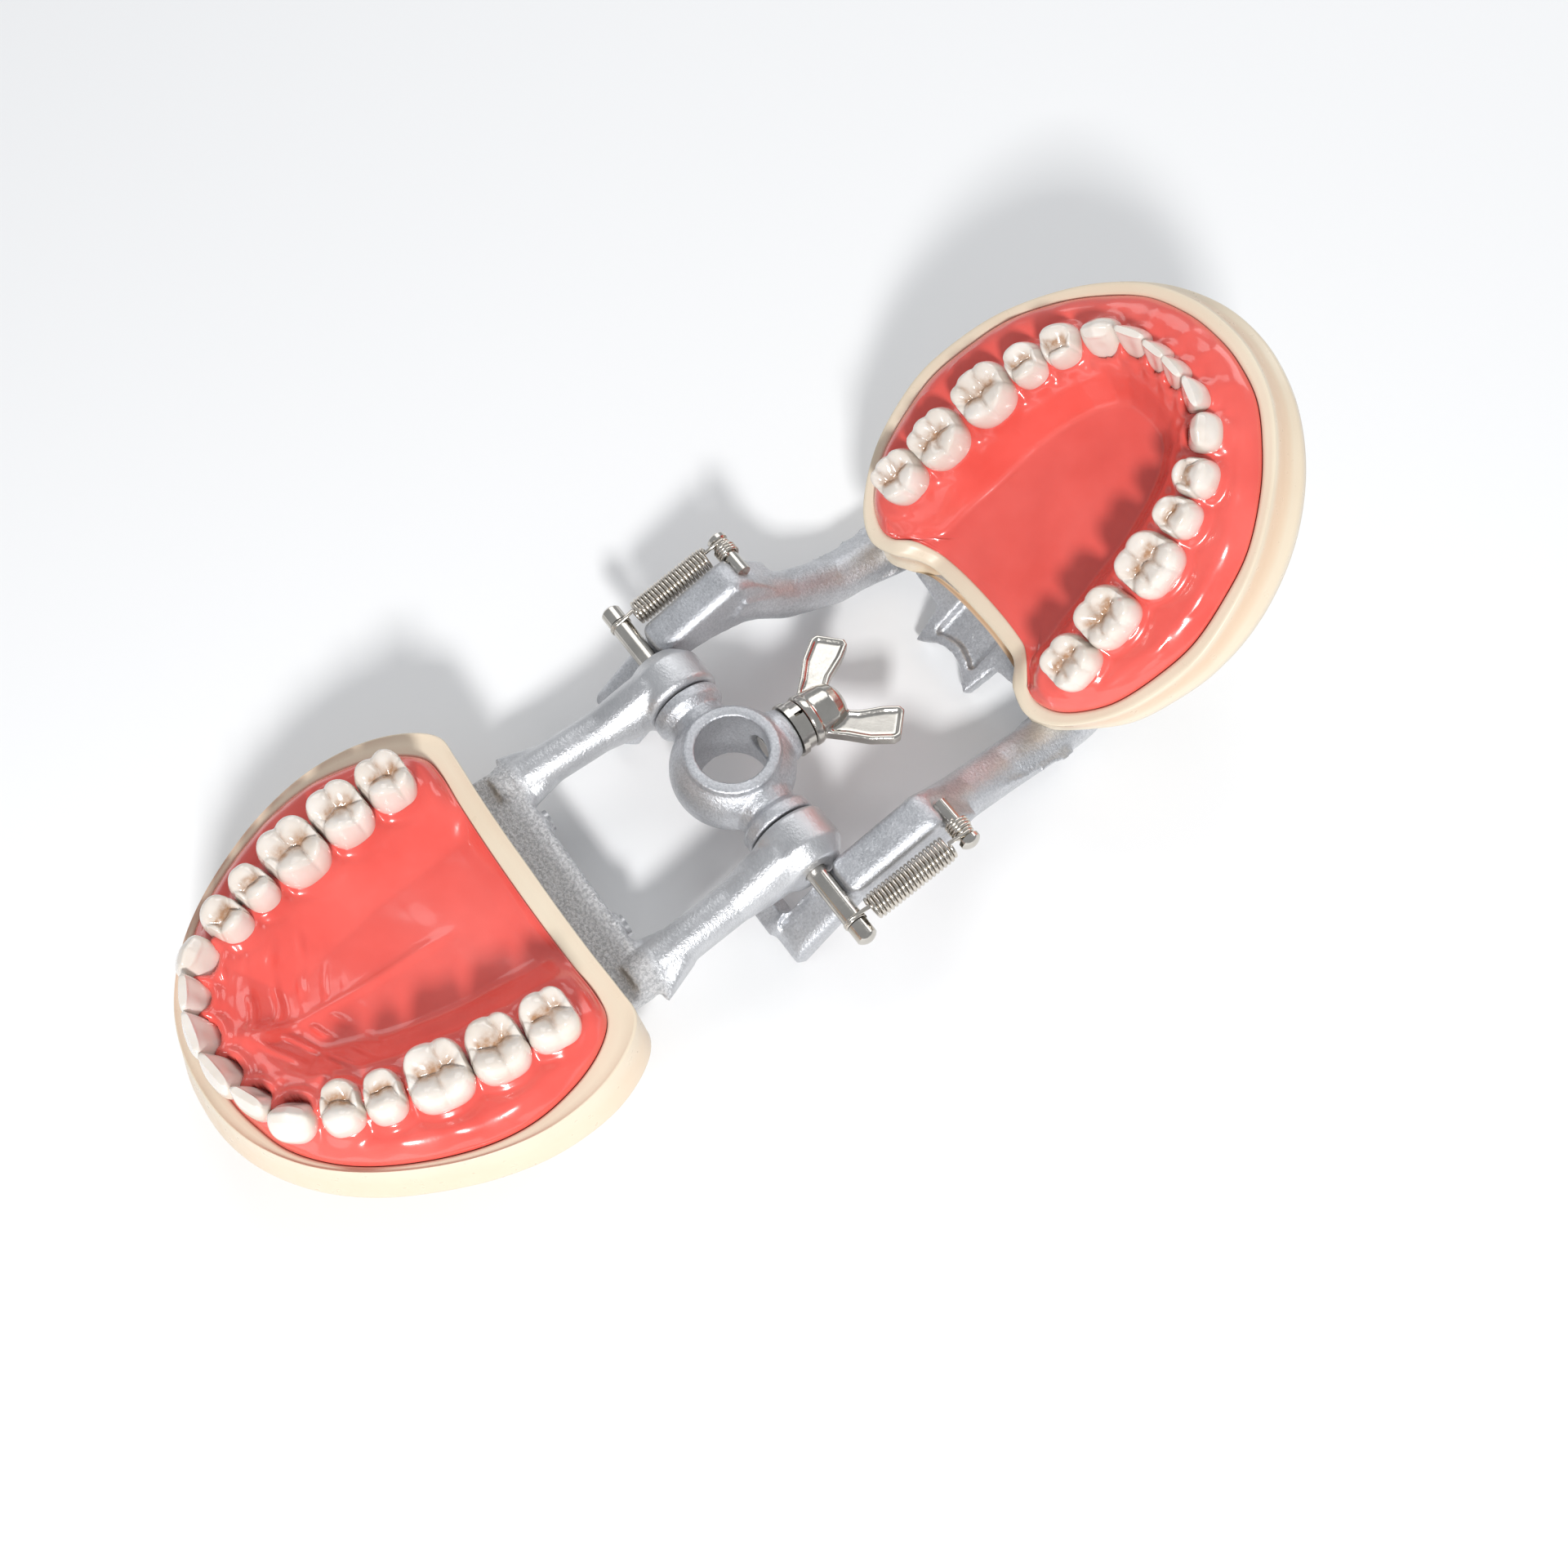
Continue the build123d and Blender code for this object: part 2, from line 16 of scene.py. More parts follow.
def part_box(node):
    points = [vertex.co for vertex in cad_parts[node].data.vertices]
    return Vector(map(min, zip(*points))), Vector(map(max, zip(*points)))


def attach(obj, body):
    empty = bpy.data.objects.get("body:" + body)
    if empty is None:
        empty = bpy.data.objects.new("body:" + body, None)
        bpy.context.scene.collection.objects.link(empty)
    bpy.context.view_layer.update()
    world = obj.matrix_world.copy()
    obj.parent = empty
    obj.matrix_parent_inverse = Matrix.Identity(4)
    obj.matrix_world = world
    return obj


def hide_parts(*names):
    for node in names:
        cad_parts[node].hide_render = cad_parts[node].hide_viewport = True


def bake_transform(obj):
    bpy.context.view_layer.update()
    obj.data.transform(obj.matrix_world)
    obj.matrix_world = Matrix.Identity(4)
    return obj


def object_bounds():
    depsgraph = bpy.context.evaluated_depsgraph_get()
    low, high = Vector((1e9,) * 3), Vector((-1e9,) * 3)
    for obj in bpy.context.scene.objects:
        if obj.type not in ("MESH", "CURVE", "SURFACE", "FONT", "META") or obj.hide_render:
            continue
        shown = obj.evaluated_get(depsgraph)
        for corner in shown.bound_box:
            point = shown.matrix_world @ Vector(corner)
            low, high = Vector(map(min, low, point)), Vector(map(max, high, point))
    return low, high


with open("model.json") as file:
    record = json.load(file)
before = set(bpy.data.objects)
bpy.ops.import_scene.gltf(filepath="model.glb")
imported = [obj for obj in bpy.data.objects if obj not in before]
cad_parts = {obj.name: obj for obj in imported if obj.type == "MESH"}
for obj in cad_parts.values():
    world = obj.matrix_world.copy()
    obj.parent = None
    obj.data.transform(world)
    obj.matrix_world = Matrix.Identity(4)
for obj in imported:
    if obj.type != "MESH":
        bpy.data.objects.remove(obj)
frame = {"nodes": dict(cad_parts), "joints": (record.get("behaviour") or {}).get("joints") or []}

cad_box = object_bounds()
nodes = frame["nodes"]
joint = {row["name"]: row for row in frame["joints"]}

# %% [markdown]
# The two jaws lie in two planes that meet at the hinge line. Work on a jaw is much easier
# in the jaw's own millimetres: x to the side, y ahead of the hinge, z above it. One matrix
# for each jaw then carries a finished mesh into the frame. The mandible's tilt is read
# from the slide that it protrudes along.

# %% The jaws' own coordinates
MM = 0.001
slide_way = Vector(joint["jaw_protrusion"]["axis"])
tilt = math.atan2(slide_way.z, slide_way.y)
to_frame = {
    "upper": Matrix.Scale(MM, 4) @ Matrix.Rotation(math.pi, 4, "Z"),
    "lower": Matrix.Scale(MM, 4) @ Matrix.Rotation(tilt, 4, "X"),
}
body_of = {"upper": "upper_jaw", "lower": "lower_jaw"}


def jaw_points(node, jaw):
    """A node's vertices in its jaw's millimetres."""
    back = to_frame[jaw].inverted()
    return [back @ v.co for v in nodes[node].data.vertices]


def jaw_box(node, jaw):
    """A node's lowest and highest corners in its jaw's millimetres."""
    points = jaw_points(node, jaw)
    return (Vector([min(p[i] for p in points) for i in range(3)]),
            Vector([max(p[i] for p in points) for i in range(3)]))


print("mandible tilt %.1f degrees" % math.degrees(tilt))

# %% [markdown]
# The camera stands high over the maxilla's side and looks down across the hub. Its lens
# is a little wide, as when a small object is pictured from close by. The Standard view
# transform is set because the default one turns saturated reds pale.

# %% Camera
LENS = 37.5
CAMERA_SPOT = Vector((113.8, -70.71, 269.28)) * MM
LOOK_AT = Vector((8.26, 5.63, 0)) * MM
camera_data = bpy.data.cameras.new("camera")
camera = bpy.data.objects.new("camera", camera_data)
bpy.context.scene.collection.objects.link(camera)
camera_data.sensor_width = 36
camera_data.lens = LENS
camera.location = CAMERA_SPOT
camera.rotation_euler = (LOOK_AT - CAMERA_SPOT).to_track_quat("-Z", "Y").to_euler()
camera_data.clip_start = 0.01
bpy.context.scene.camera = camera
bpy.context.scene.view_settings.view_transform = "Standard"
print("camera %.0f mm from the hub" % (camera.location.length / MM))

# %% [markdown]
# The floor is plain and pale. A small key light throws the shadows of the teeth on the
# palate, and two large soft lights leave long clean highlights on the gums and the plated
# parts. A bright world alone would be more even, but it would show less of the form.

# %% Floor and lights
FLOOR_GAP = 0.0001
FLOOR_HALF = 3
floor_height = cad_box[0][2] - FLOOR_GAP
bm = bmesh.new()
bmesh.ops.create_grid(bm, x_segments=1, y_segments=1, size=FLOOR_HALF)
bmesh.ops.translate(bm, verts=bm.verts, vec=(0, 0, floor_height))
floor_mesh = bpy.data.meshes.new("floor")
bm.to_mesh(floor_mesh)
bm.free()
floor = bpy.data.objects.new("floor", floor_mesh)
bpy.context.scene.collection.objects.link(floor)
floor_paint = bpy.data.materials.new("floor_paint")
floor_paint.use_nodes = True
floor_shader = floor_paint.node_tree.nodes["Principled BSDF"]
floor_shader.inputs["Base Color"].default_value = (0.93, 0.93, 0.93, 1)
floor_shader.inputs["Roughness"].default_value = 0.9
floor_mesh.materials.append(floor_paint)

world = bpy.data.worlds.new("studio")
bpy.context.scene.world = world
world.use_nodes = True
world.node_tree.nodes["Background"].inputs["Color"].default_value = (0.93, 0.96, 1.0, 1)
world.node_tree.nodes["Background"].inputs["Strength"].default_value = 0.45


def soft_light(name, place, size, power):
    """A square area light that faces the hub."""
    data = bpy.data.lights.new(name, "AREA")
    data.size = size
    data.energy = power
    light = bpy.data.objects.new(name, data)
    light.location = place
    light.rotation_euler = (-Vector(place)).to_track_quat("-Z", "Y").to_euler()
    bpy.context.scene.collection.objects.link(light)


soft_light("key", (0.52, -0.31, 0.48), 0.11, 5.0)
soft_light("fill", (-0.6, 0.35, 0.7), 0.6, 1.9)
soft_light("rim", (-0.1, 0.8, 0.5), 0.4, 1.2)
print("floor at %.1f mm" % (floor_height / MM))

# %% [markdown]
# Every finish is a Principled shader with procedural detail. The helpers below add the two
# things that most of them share: a fine grain in the height of the surface, and a slow
# drift of colour or gloss across it. Both read Object coordinates, which are metres here,
# so a noise scale of 1000 has features about a millimetre across.

# %% Material helpers
def new_finish(name, color, roughness, metallic=0.0):
    """A material with its shader set, as (material, shader, links, nodes)."""
    mat = bpy.data.materials.new(name)
    mat.use_nodes = True
    tree = mat.node_tree
    shader = tree.nodes["Principled BSDF"]
    shader.inputs["Base Color"].default_value = (*color, 1)
    shader.inputs["Roughness"].default_value = roughness
    shader.inputs["Metallic"].default_value = metallic
    return mat, shader, tree.links, tree.nodes


def noise(links, made, scale, detail=3.0, rough=0.5):
    """A noise texture on Object coordinates."""
    place = made.new("ShaderNodeTexCoord")
    texture = made.new("ShaderNodeTexNoise")
    texture.inputs["Scale"].default_value = scale
    texture.inputs["Detail"].default_value = detail
    texture.inputs["Roughness"].default_value = rough
    links.new(place.outputs["Object"], texture.inputs["Vector"])
    return texture.outputs["Fac"]


def ramp(links, made, value, stops):
    """A colour ramp over a value; stops are (position, colour)."""
    node = made.new("ShaderNodeValToRGB")
    band = node.color_ramp
    while len(band.elements) < len(stops):
        band.elements.new(0.5)
    for element, (at, color) in zip(band.elements, stops):
        element.position = at
        element.color = (*color, 1)
    links.new(value, node.inputs["Fac"])
    return node.outputs["Color"]


def remap(links, made, value, low, high, to_low, to_high):
    """A value moved from one range to another."""
    node = made.new("ShaderNodeMapRange")
    for name, number in (("From Min", low), ("From Max", high), ("To Min", to_low), ("To Max", to_high)):
        node.inputs[name].default_value = number
    links.new(value, node.inputs["Value"])
    return node.outputs["Result"]


def bump(links, made, shader, height, strength, distance, below=None):
    """Bump from a height, in metres, stacked on an earlier bump if one is given."""
    node = made.new("ShaderNodeBump")
    node.inputs["Strength"].default_value = strength
    node.inputs["Distance"].default_value = distance
    links.new(height, node.inputs["Height"])
    if below is not None:
        links.new(below, node.inputs["Normal"])
    links.new(node.outputs["Normal"], shader.inputs["Normal"])
    return node.outputs["Normal"]


print("material helpers ready")

# %% [markdown]
# The castings are aluminium under a thin satin silver paint. The sand mould leaves a fine
# grain everywhere, with pits and a mottled gloss on top of it. Modelling the grain would
# take millions of faces, so two layers of bump carry it, one fine and one coarse, and a
# speckle in the colour keeps it in sight where the light is flat.

# %% Cast alloy
def cast_finish(name, color, grain, pits):
    mat, shader, links, made = new_finish(name, color, 0.4, 0.85)
    drift = noise(links, made, 120, 4)
    dull, bright = [c * 0.86 for c in color], [min(1, c * 1.08) for c in color]
    tone = ramp(links, made, drift, ((0.3, dull), (0.7, bright)))
    speck = ramp(links, made, noise(links, made, 2100, 4, 0.7),
                 ((0.36, [c * 0.70 for c in color]), (0.62, (1, 1, 1))))
    fleck = made.new("ShaderNodeMix")
    fleck.data_type = "RGBA"
    fleck.blend_type = "MULTIPLY"
    fleck.inputs["Factor"].default_value = 0.45
    links.new(tone, fleck.inputs["A"])
    links.new(speck, fleck.inputs["B"])
    links.new(fleck.outputs["Result"], shader.inputs["Base Color"])
    links.new(remap(links, made, noise(links, made, 900, 5, 0.7), 0.3, 0.7, 0.28, 0.46),
              shader.inputs["Roughness"])
    first = bump(links, made, shader, noise(links, made, 1900, 4, 0.6), grain, 0.0003)
    bump(links, made, shader, noise(links, made, 600, 6, 0.75), pits, 0.0006, first)
    return mat


cast_alloy = cast_finish("cast_alloy", (0.68, 0.69, 0.715), 0.45, 0.3)
print(cast_alloy.name, len(cast_alloy.node_tree.nodes), "shader nodes")

# %% [markdown]
# Pins, studs, springs and the wing screw are nickel plated: a warm mirror with faint
# polishing marks. The small hidden screws are plain machined steel. One function makes all
# three finishes, since they differ only in colour, gloss and the size of their marks.

# %% Plated and machined steel
def plated_finish(name, color, roughness, spread, mark_scale):
    mat, shader, links, made = new_finish(name, color, roughness, 1.0)
    marks = noise(links, made, mark_scale, 5, 0.65)
    links.new(remap(links, made, marks, 0.35, 0.7, roughness - spread, roughness + spread),
              shader.inputs["Roughness"])
    tone = ramp(links, made, noise(links, made, 260, 3), ((0.3, [c * 0.84 for c in color]), (0.72, color)))
    links.new(tone, shader.inputs["Base Color"])
    bump(links, made, shader, marks, 0.08, 0.00004)
    return mat


nickel = plated_finish("nickel", (0.64, 0.61, 0.56), 0.17, 0.07, 1800)
spring_wire_finish = plated_finish("spring_wire", (0.72, 0.67, 0.60), 0.2, 0.06, 2400)
screw_steel = plated_finish("screw_steel", (0.60, 0.60, 0.61), 0.33, 0.08, 1500)
print("metals:", nickel.name, spring_wire_finish.name, screw_steel.name)

# %% [markdown]
# Gum resin is a wet-looking coral red with a clear coat. Light goes a little way in, so a
# small amount of subsurface scattering keeps the edges from looking like painted metal.

# %% Gum resin
gum_resin, shader, links, made = new_finish("gum_resin", (0.80, 0.09, 0.07), 0.2)
drift = noise(links, made, 60, 3)
links.new(ramp(links, made, drift, ((0.32, (0.75, 0.088, 0.068)), (0.72, (0.86, 0.135, 0.11)))),
          shader.inputs["Base Color"])
shader.inputs["Subsurface Weight"].default_value = 0.12
shader.inputs["Subsurface Radius"].default_value = (1.0, 0.25, 0.15)
shader.inputs["Subsurface Scale"].default_value = 0.002
shader.inputs["Coat Weight"].default_value = 0.5
shader.inputs["Coat Roughness"].default_value = 0.06
links.new(remap(links, made, noise(links, made, 420, 4), 0.3, 0.7, 0.16, 0.27), shader.inputs["Roughness"])
first = bump(links, made, shader, noise(links, made, 150, 2, 0.4), 0.22, 0.0009)
bump(links, made, shader, noise(links, made, 1300, 3), 0.06, 0.0002, first)
print(gum_resin.name, len(made), "shader nodes")

# %% [markdown]
# The bases are ivory resin, smooth and slightly waxy. Shade is painted into their colour as
# a darker, warmer tone in the hollow under the mandible's rim and low on the maxilla's wall.
# No plain texture knows where that is, so each base carries a vertex attribute that marks
# the painted shade, and the shader blends by it.

# %% Ivory resin
ivory_resin, shader, links, made = new_finish("ivory_resin", (0.80, 0.70, 0.56), 0.33)
ivory = ramp(links, made, noise(links, made, 45, 3), ((0.3, (0.73, 0.61, 0.46)), (0.7, (0.79, 0.69, 0.54))))
links.new(remap(links, made, noise(links, made, 500, 4), 0.3, 0.7, 0.26, 0.42), shader.inputs["Roughness"])
bump(links, made, shader, noise(links, made, 260, 1, 0.4), 0.06, 0.0004)
# Painted shade: a vertex attribute marks the hollow under the mandible's rim and the low part of the maxilla's
# wall, and the mix below darkens and warms the ivory there
painted_shade = made.new("ShaderNodeAttribute")
painted_shade.attribute_name = "painted_shade"
painted_shade_blend = made.new("ShaderNodeMix")
painted_shade_blend.data_type = "RGBA"
links.new(painted_shade.outputs["Fac"], painted_shade_blend.inputs["Factor"])
links.new(ivory, painted_shade_blend.inputs["A"])
# The painted shade's colour, a darker and warmer ivory
painted_shade_blend.inputs["B"].default_value = (0.78, 0.55, 0.37, 1)
links.new(painted_shade_blend.outputs["Result"], shader.inputs["Base Color"])
print(ivory_resin.name, len(made), "shader nodes")

# %% [markdown]
# Tooth resin is off-white with a high gloss. Each tooth carries a vertex attribute named
# stain: how deep a point lies in the fissures. The shader turns it into the beige and brown
# of the grooves, broken up by noise so that the stain looks soaked in, not drawn on.

# %% Tooth resin
tooth_resin, shader, links, made = new_finish("tooth_resin", (0.80, 0.74, 0.66), 0.16)
stain = made.new("ShaderNodeAttribute")
stain.attribute_name = "stain"
broken = made.new("ShaderNodeMath")
broken.operation = "MULTIPLY"
links.new(stain.outputs["Fac"], broken.inputs[0])
links.new(remap(links, made, noise(links, made, 900, 3, 0.6), 0.3, 0.62, 0.45, 1.1), broken.inputs[1])
enamel = ramp(links, made, noise(links, made, 130, 3), ((0.3, (0.72, 0.64, 0.56)), (0.7, (0.82, 0.76, 0.70))))
mix = made.new("ShaderNodeMix")
mix.data_type = "RGBA"
links.new(broken.outputs[0], mix.inputs["Factor"])
links.new(enamel, mix.inputs["A"])
mix.inputs["B"].default_value = (0.42, 0.235, 0.13, 1)
links.new(mix.outputs["Result"], shader.inputs["Base Color"])
shader.inputs["Subsurface Weight"].default_value = 0.12
shader.inputs["Subsurface Radius"].default_value = (1.0, 0.8, 0.6)
shader.inputs["Subsurface Scale"].default_value = 0.0012
shader.inputs["Coat Weight"].default_value = 0.6
shader.inputs["Coat Roughness"].default_value = 0.05
bump(links, made, shader, noise(links, made, 1100, 3), 0.05, 0.0002)
print("finishes:", len(bpy.data.materials))

# %% [markdown]
# Small helpers turn a finished bmesh into a piece of the object. The mesh is carried into
# the frame, so that the object itself stays at the origin, and the normals are worked out
# again, because mirrored tooth shapes come out inside out.

# %% Piece helpers
def finish_piece(bm, name, finish, body, place=None, smooth=True, recalc=True):
    """Make an object from a bmesh, dress it and let it ride on a body."""
    if place is not None:
        bmesh.ops.transform(bm, matrix=place, verts=bm.verts)
    if recalc:
        bmesh.ops.recalc_face_normals(bm, faces=bm.faces)
    mesh = bpy.data.meshes.new(name)
    bm.to_mesh(mesh)
    bm.free()
    piece = bpy.data.objects.new(name, mesh)
    bpy.context.scene.collection.objects.link(piece)
    mesh.materials.append(finish)
    if smooth:
        mesh.shade_smooth()
    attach(piece, body)
    return piece


def smooth_step(t):
    """0 up to 1 without a corner at either end."""
    t = min(1.0, max(0.0, t))
    return t * t * (3 - 2 * t)


def hill(distance, width):
    """A bell curve of height 1."""
    return math.exp(-(distance / width) ** 2 / 2)


def scaled_through(values, s):
    """A smooth curve through values at 0, 0.45 and 1."""
    low, belly, top = values
    return (low * (s - 0.45) * (s - 1) / 0.45 - belly * s * (s - 1) / 0.2475
            + top * s * (s - 0.45) / 0.55)


def wobble(x, y, z, size):
    """Seeded noise about zero, with features of the given size."""
    return mathutils.noise.noise(Vector((x, y, z)) / size)


print("piece helpers ready")

# %% [markdown]
# A crown could be carved from a revolved blank, but teeth aren't round. Here a cube is
# cut into a fine grid. Its square plan is pushed out to a rounded rectangle, its sides
# follow a belly curve, and its top follows a height field: round cones stand at the cusps
# and the highest one wins, so the valleys between them become the fissures by themselves.
# The table holds width and depth, the belly curves, and the cusps as (along, across, drop).

# %% Tooth kinds
molar_belly = (0.82, 1.0, 0.90)
upper_cusps = ((-0.50, 0.64, 0.0), (0.46, 0.62, 0.25), (-0.42, -0.60, 0.1), (0.56, -0.62, 0.6),
               (-0.94, 0.05, 0.9), (0.95, -0.05, 1.0))
lower_cusps = ((-0.58, 0.62, 0.1), (0.05, 0.70, 0.15), (0.66, 0.50, 0.45), (-0.50, -0.62, 0.0),
               (0.46, -0.62, 0.15), (-0.95, 0.0, 0.95), (0.96, 0.0, 0.95))
two_cusps = ((0.0, 0.58, 0.0), (0.0, -0.60, 0.3), (-0.95, 0.0, 1.0), (0.95, 0.0, 1.05))
low_lingual = ((0.0, 0.46, 0.0), (-0.1, -0.66, 0.8), (-0.90, -0.05, 1.0), (0.90, -0.05, 1.0))
point = ((0.0, 0.1, 0.0),)
# name: width, depth, along curve, cheek curve, tongue curve, cusps, cone slope
kinds = {
    "upper": {
        "central_incisor": (7.6, 6.4, (0.74, 0.95, 1.0), (0.52, 0.66, 0.26), (1.08, 0.92, 0.20), (), 0),
        "lateral_incisor": (6.5, 5.8, (0.74, 0.96, 0.94), (0.52, 0.66, 0.28), (1.06, 0.92, 0.22), (), 0),
        "canine": (7.4, 7.6, (0.76, 1.0, 0.80), (0.66, 0.84, 0.46), (1.05, 0.96, 0.40), point, 0),
        "first_premolar": (6.9, 8.9, (0.80, 1.0, 0.84), (0.84, 1.0, 0.80), (0.84, 1.0, 0.80), two_cusps, 0.62),
        "second_premolar": (6.6, 8.7, (0.80, 1.0, 0.84), (0.84, 1.0, 0.80), (0.84, 1.0, 0.80), two_cusps, 0.56),
        "first_molar": (10.4, 11.2, molar_belly, (0.84, 1.0, 0.85), (0.84, 1.0, 0.85), upper_cusps, 0.50),
        "second_molar": (9.5, 10.9, molar_belly, (0.84, 1.0, 0.84), (0.84, 1.0, 0.84), upper_cusps, 0.48),
        "third_molar": (9.0, 9.9, molar_belly, (0.84, 1.0, 0.82), (0.84, 1.0, 0.82), upper_cusps, 0.46),
    },
    "lower": {
        "central_incisor": (4.9, 5.9, (0.66, 0.90, 1.0), (0.50, 0.60, 0.24), (1.02, 0.86, 0.20), (), 0),
        "lateral_incisor": (5.8, 6.1, (0.68, 0.92, 1.0), (0.50, 0.62, 0.24), (1.02, 0.88, 0.20), (), 0),
        "canine": (6.8, 7.4, (0.76, 1.0, 0.80), (0.64, 0.82, 0.44), (1.05, 0.94, 0.40), point, 0),
        "first_premolar": (7.1, 7.8, (0.80, 1.0, 0.80), (0.84, 1.0, 0.74), (0.86, 1.0, 0.78), low_lingual, 0.60),
        "second_premolar": (7.1, 8.1, (0.80, 1.0, 0.84), (0.84, 1.0, 0.78), (0.86, 1.0, 0.80), two_cusps, 0.54),
        "first_molar": (11.0, 10.6, molar_belly, (0.84, 1.0, 0.83), (0.84, 1.0, 0.84), lower_cusps, 0.50),
        "second_molar": (10.7, 10.2, molar_belly, (0.84, 1.0, 0.82), (0.84, 1.0, 0.83), lower_cusps, 0.48),
        "third_molar": (9.6, 9.5, molar_belly, (0.84, 1.0, 0.80), (0.84, 1.0, 0.82), lower_cusps, 0.46),
    },
}
NECK_DEPTH = 2.2
gum_top = {"upper": 12.4, "lower": -27.4}
cusp_top = {"upper": 20.0, "lower": -20.0}
order = list(kinds["upper"])


def tooth_stands(jaw):
    """Each right-hand tooth's name, middle and distal direction, from the frame's own teeth."""
    side = {"upper": "left", "lower": "right"}[jaw]
    middles = []
    for name in order:
        low, high = jaw_box(f"{jaw}_{side}_{name}", jaw)
        middles.append(Vector(((low.x + high.x) / 2, (low.y + high.y) / 2)))
    for i, name in enumerate(order):
        ahead = middles[i - 1] if i else Vector((-middles[0].x, middles[0].y))
        behind = middles[min(i + 1, len(order) - 1)]
        yield name, middles[i], (behind - ahead).normalized()


stands = {jaw: list(tooth_stands(jaw)) for jaw in kinds}
for jaw in stands:
    print(jaw, [(round(m.x, 1), round(m.y, 1)) for _, m, _ in stands[jaw]])

# %% [markdown]
# The height field gives two answers for each point of the chewing face: how far it lies
# below the highest cusp, and how close it is to a fissure. An incisor has no cusps. Its
# top is a blade that is highest in the middle and a little worn at the corners.

# %% Crown shape
def chewing_face(x, y, kind, seed):
    """Drop below the cusp plane and nearness to a fissure, at a point in millimetres."""
    width, depth, _, _, _, cusps, slope = kind
    if not cusps:
        worn = 0.10 * abs(2 * x / width) ** 3
        return 0.05 + worn + 0.05 * wobble(x, y, seed, 1.5), 0.0
    if len(cusps) == 1:
        roof = 0.48 * (math.hypot(x, 0.5) - 0.5) + 0.95 * (math.hypot(y - 0.03 * depth, 0.3) - 0.3)
        return roof + 0.05 * wobble(x, y, seed, 1.5), 0.0
    bent_x = x + 0.55 * wobble(x, y, seed, 2.2)
    bent_y = y + 0.55 * wobble(y, x, seed + 5, 2.2)
    drops = []
    for along, across, drop in cusps:
        away = math.hypot(bent_x - along * width / 2, bent_y - across * depth / 2)
        drops.append(drop + slope * (math.hypot(away, 0.9) - 0.9) * (1 + 0.06 * away))
    drops.sort()
    near = hill(drops[1] - drops[0], 0.30)
    main = hill(bent_y / depth + 0.02, 0.085)
    return drops[0] + 0.38 * near + 0.25 * main, max(0.55 * near, main)


def crown(kind, neck, top, seed, cuts=30):
    """One crown, along the arch in x and to the cheek in y, in millimetres."""
    width, depth, along, cheek, tongue, cusps, _ = kind
    square = 2.9 if len(cusps) > 4 else 2.5
    bm = bmesh.new()
    bmesh.ops.create_cube(bm, size=2)
    bmesh.ops.subdivide_edges(bm, edges=bm.edges, cuts=cuts, use_grid_fill=True)
    stain = bm.verts.layers.float.new("stain")
    shoulder = []
    for v in bm.verts:
        a, b, c = v.co
        rim = max(abs(a), abs(b))
        x, y = a * math.sqrt(1 - b * b / 2), b * math.sqrt(1 - a * a / 2)
        turn = math.atan2(y, x)
        stretch = (abs(math.cos(turn)) ** square + abs(math.sin(turn)) ** square) ** (-1 / square)
        x, y = x * stretch, y * stretch
        # Crowns are narrower towards the tongue
        x *= 1 + 0.07 * y
        level = (c + 1) / 2

        def spot(s):
            front, back = scaled_through(cheek, s), scaled_through(tongue, s)
            middle, half = (front - back) / 2, (front + back) / 2
            return (x * scaled_through(along, s) * width / 2, (middle + y * half) * depth / 2)

        px, py = spot(1)
        drop, near = chewing_face(px, py, kind, seed)
        rounding = 0.25 * smooth_step((rim - 0.8) / 0.2)
        high = top - drop - rounding
        if c > 0.999:
            v.co = (px, py, high)
            v[stain] = near * smooth_step((0.84 - rim) / 0.3) * smooth_step((drop - 0.45) / 0.6)
        else:
            px, py = spot(level)
            pinch = 1 - 0.05 * near * level
            if len(cusps) < 2 and y < 0:
                # The tongue side of a front tooth is hollow between two ridges
                py -= 0.62 * y * hill(x, 0.40) * hill(level - 0.62, 0.26)
            v.co = (px * pinch, py * pinch, neck + (high - neck) * level)
        if rim > 0.9 and c > 0.75:
            shoulder.append(v)
    for _ in range(4):
        bmesh.ops.smooth_vert(bm, verts=shoulder, factor=0.5, use_axis_x=True, use_axis_y=True, use_axis_z=True)
    return bm


print("crown shapes for", sum(len(kinds[jaw]) for jaw in kinds), "kinds of tooth")

# %% [markdown]
# Right and left teeth mirror each other, so each crown is shaped once and placed twice.
# A mirror modifier would leave both in one mesh, and on the real jaws each tooth is a
# piece of its own that can be unscrewed.

# %% Set the teeth
def set_teeth(jaw):
    other = {"upper": ("left", "right"), "lower": ("right", "left")}[jaw]
    for count, (name, middle, distal) in enumerate(stands[jaw]):
        neck, top = gum_top[jaw] - NECK_DEPTH, cusp_top[jaw] - 0.02
        shape = crown(kinds[jaw][name], neck, top, seed=3.7 * count + len(jaw))
        for side, label in ((1, other[0]), (-1, other[1])):
            bm = shape.copy()
            for v in bm.verts:
                x, y, z = v.co
                v.co = (side * (middle.x + x * distal.x - y * distal.y),
                        middle.y + x * distal.y + y * distal.x, z)
            node = f"{jaw}_{label}_{name}"
            piece = finish_piece(bm, f"{node}_crown", tooth_resin, body_of[jaw], to_frame[jaw])
            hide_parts(node)
        shape.free()


for jaw in kinds:
    set_teeth(jaw)

# %% [markdown]
# Gums and bases share one way of building. A line of points is spun through a full turn,
# and every vertex is then placed by its ring number and its angle. The outlines are
# smooth closed curves through a few measured points, given as a distance from a middle
# point for each angle.

# %% Spokes and discs
MIDDLE = 66.0


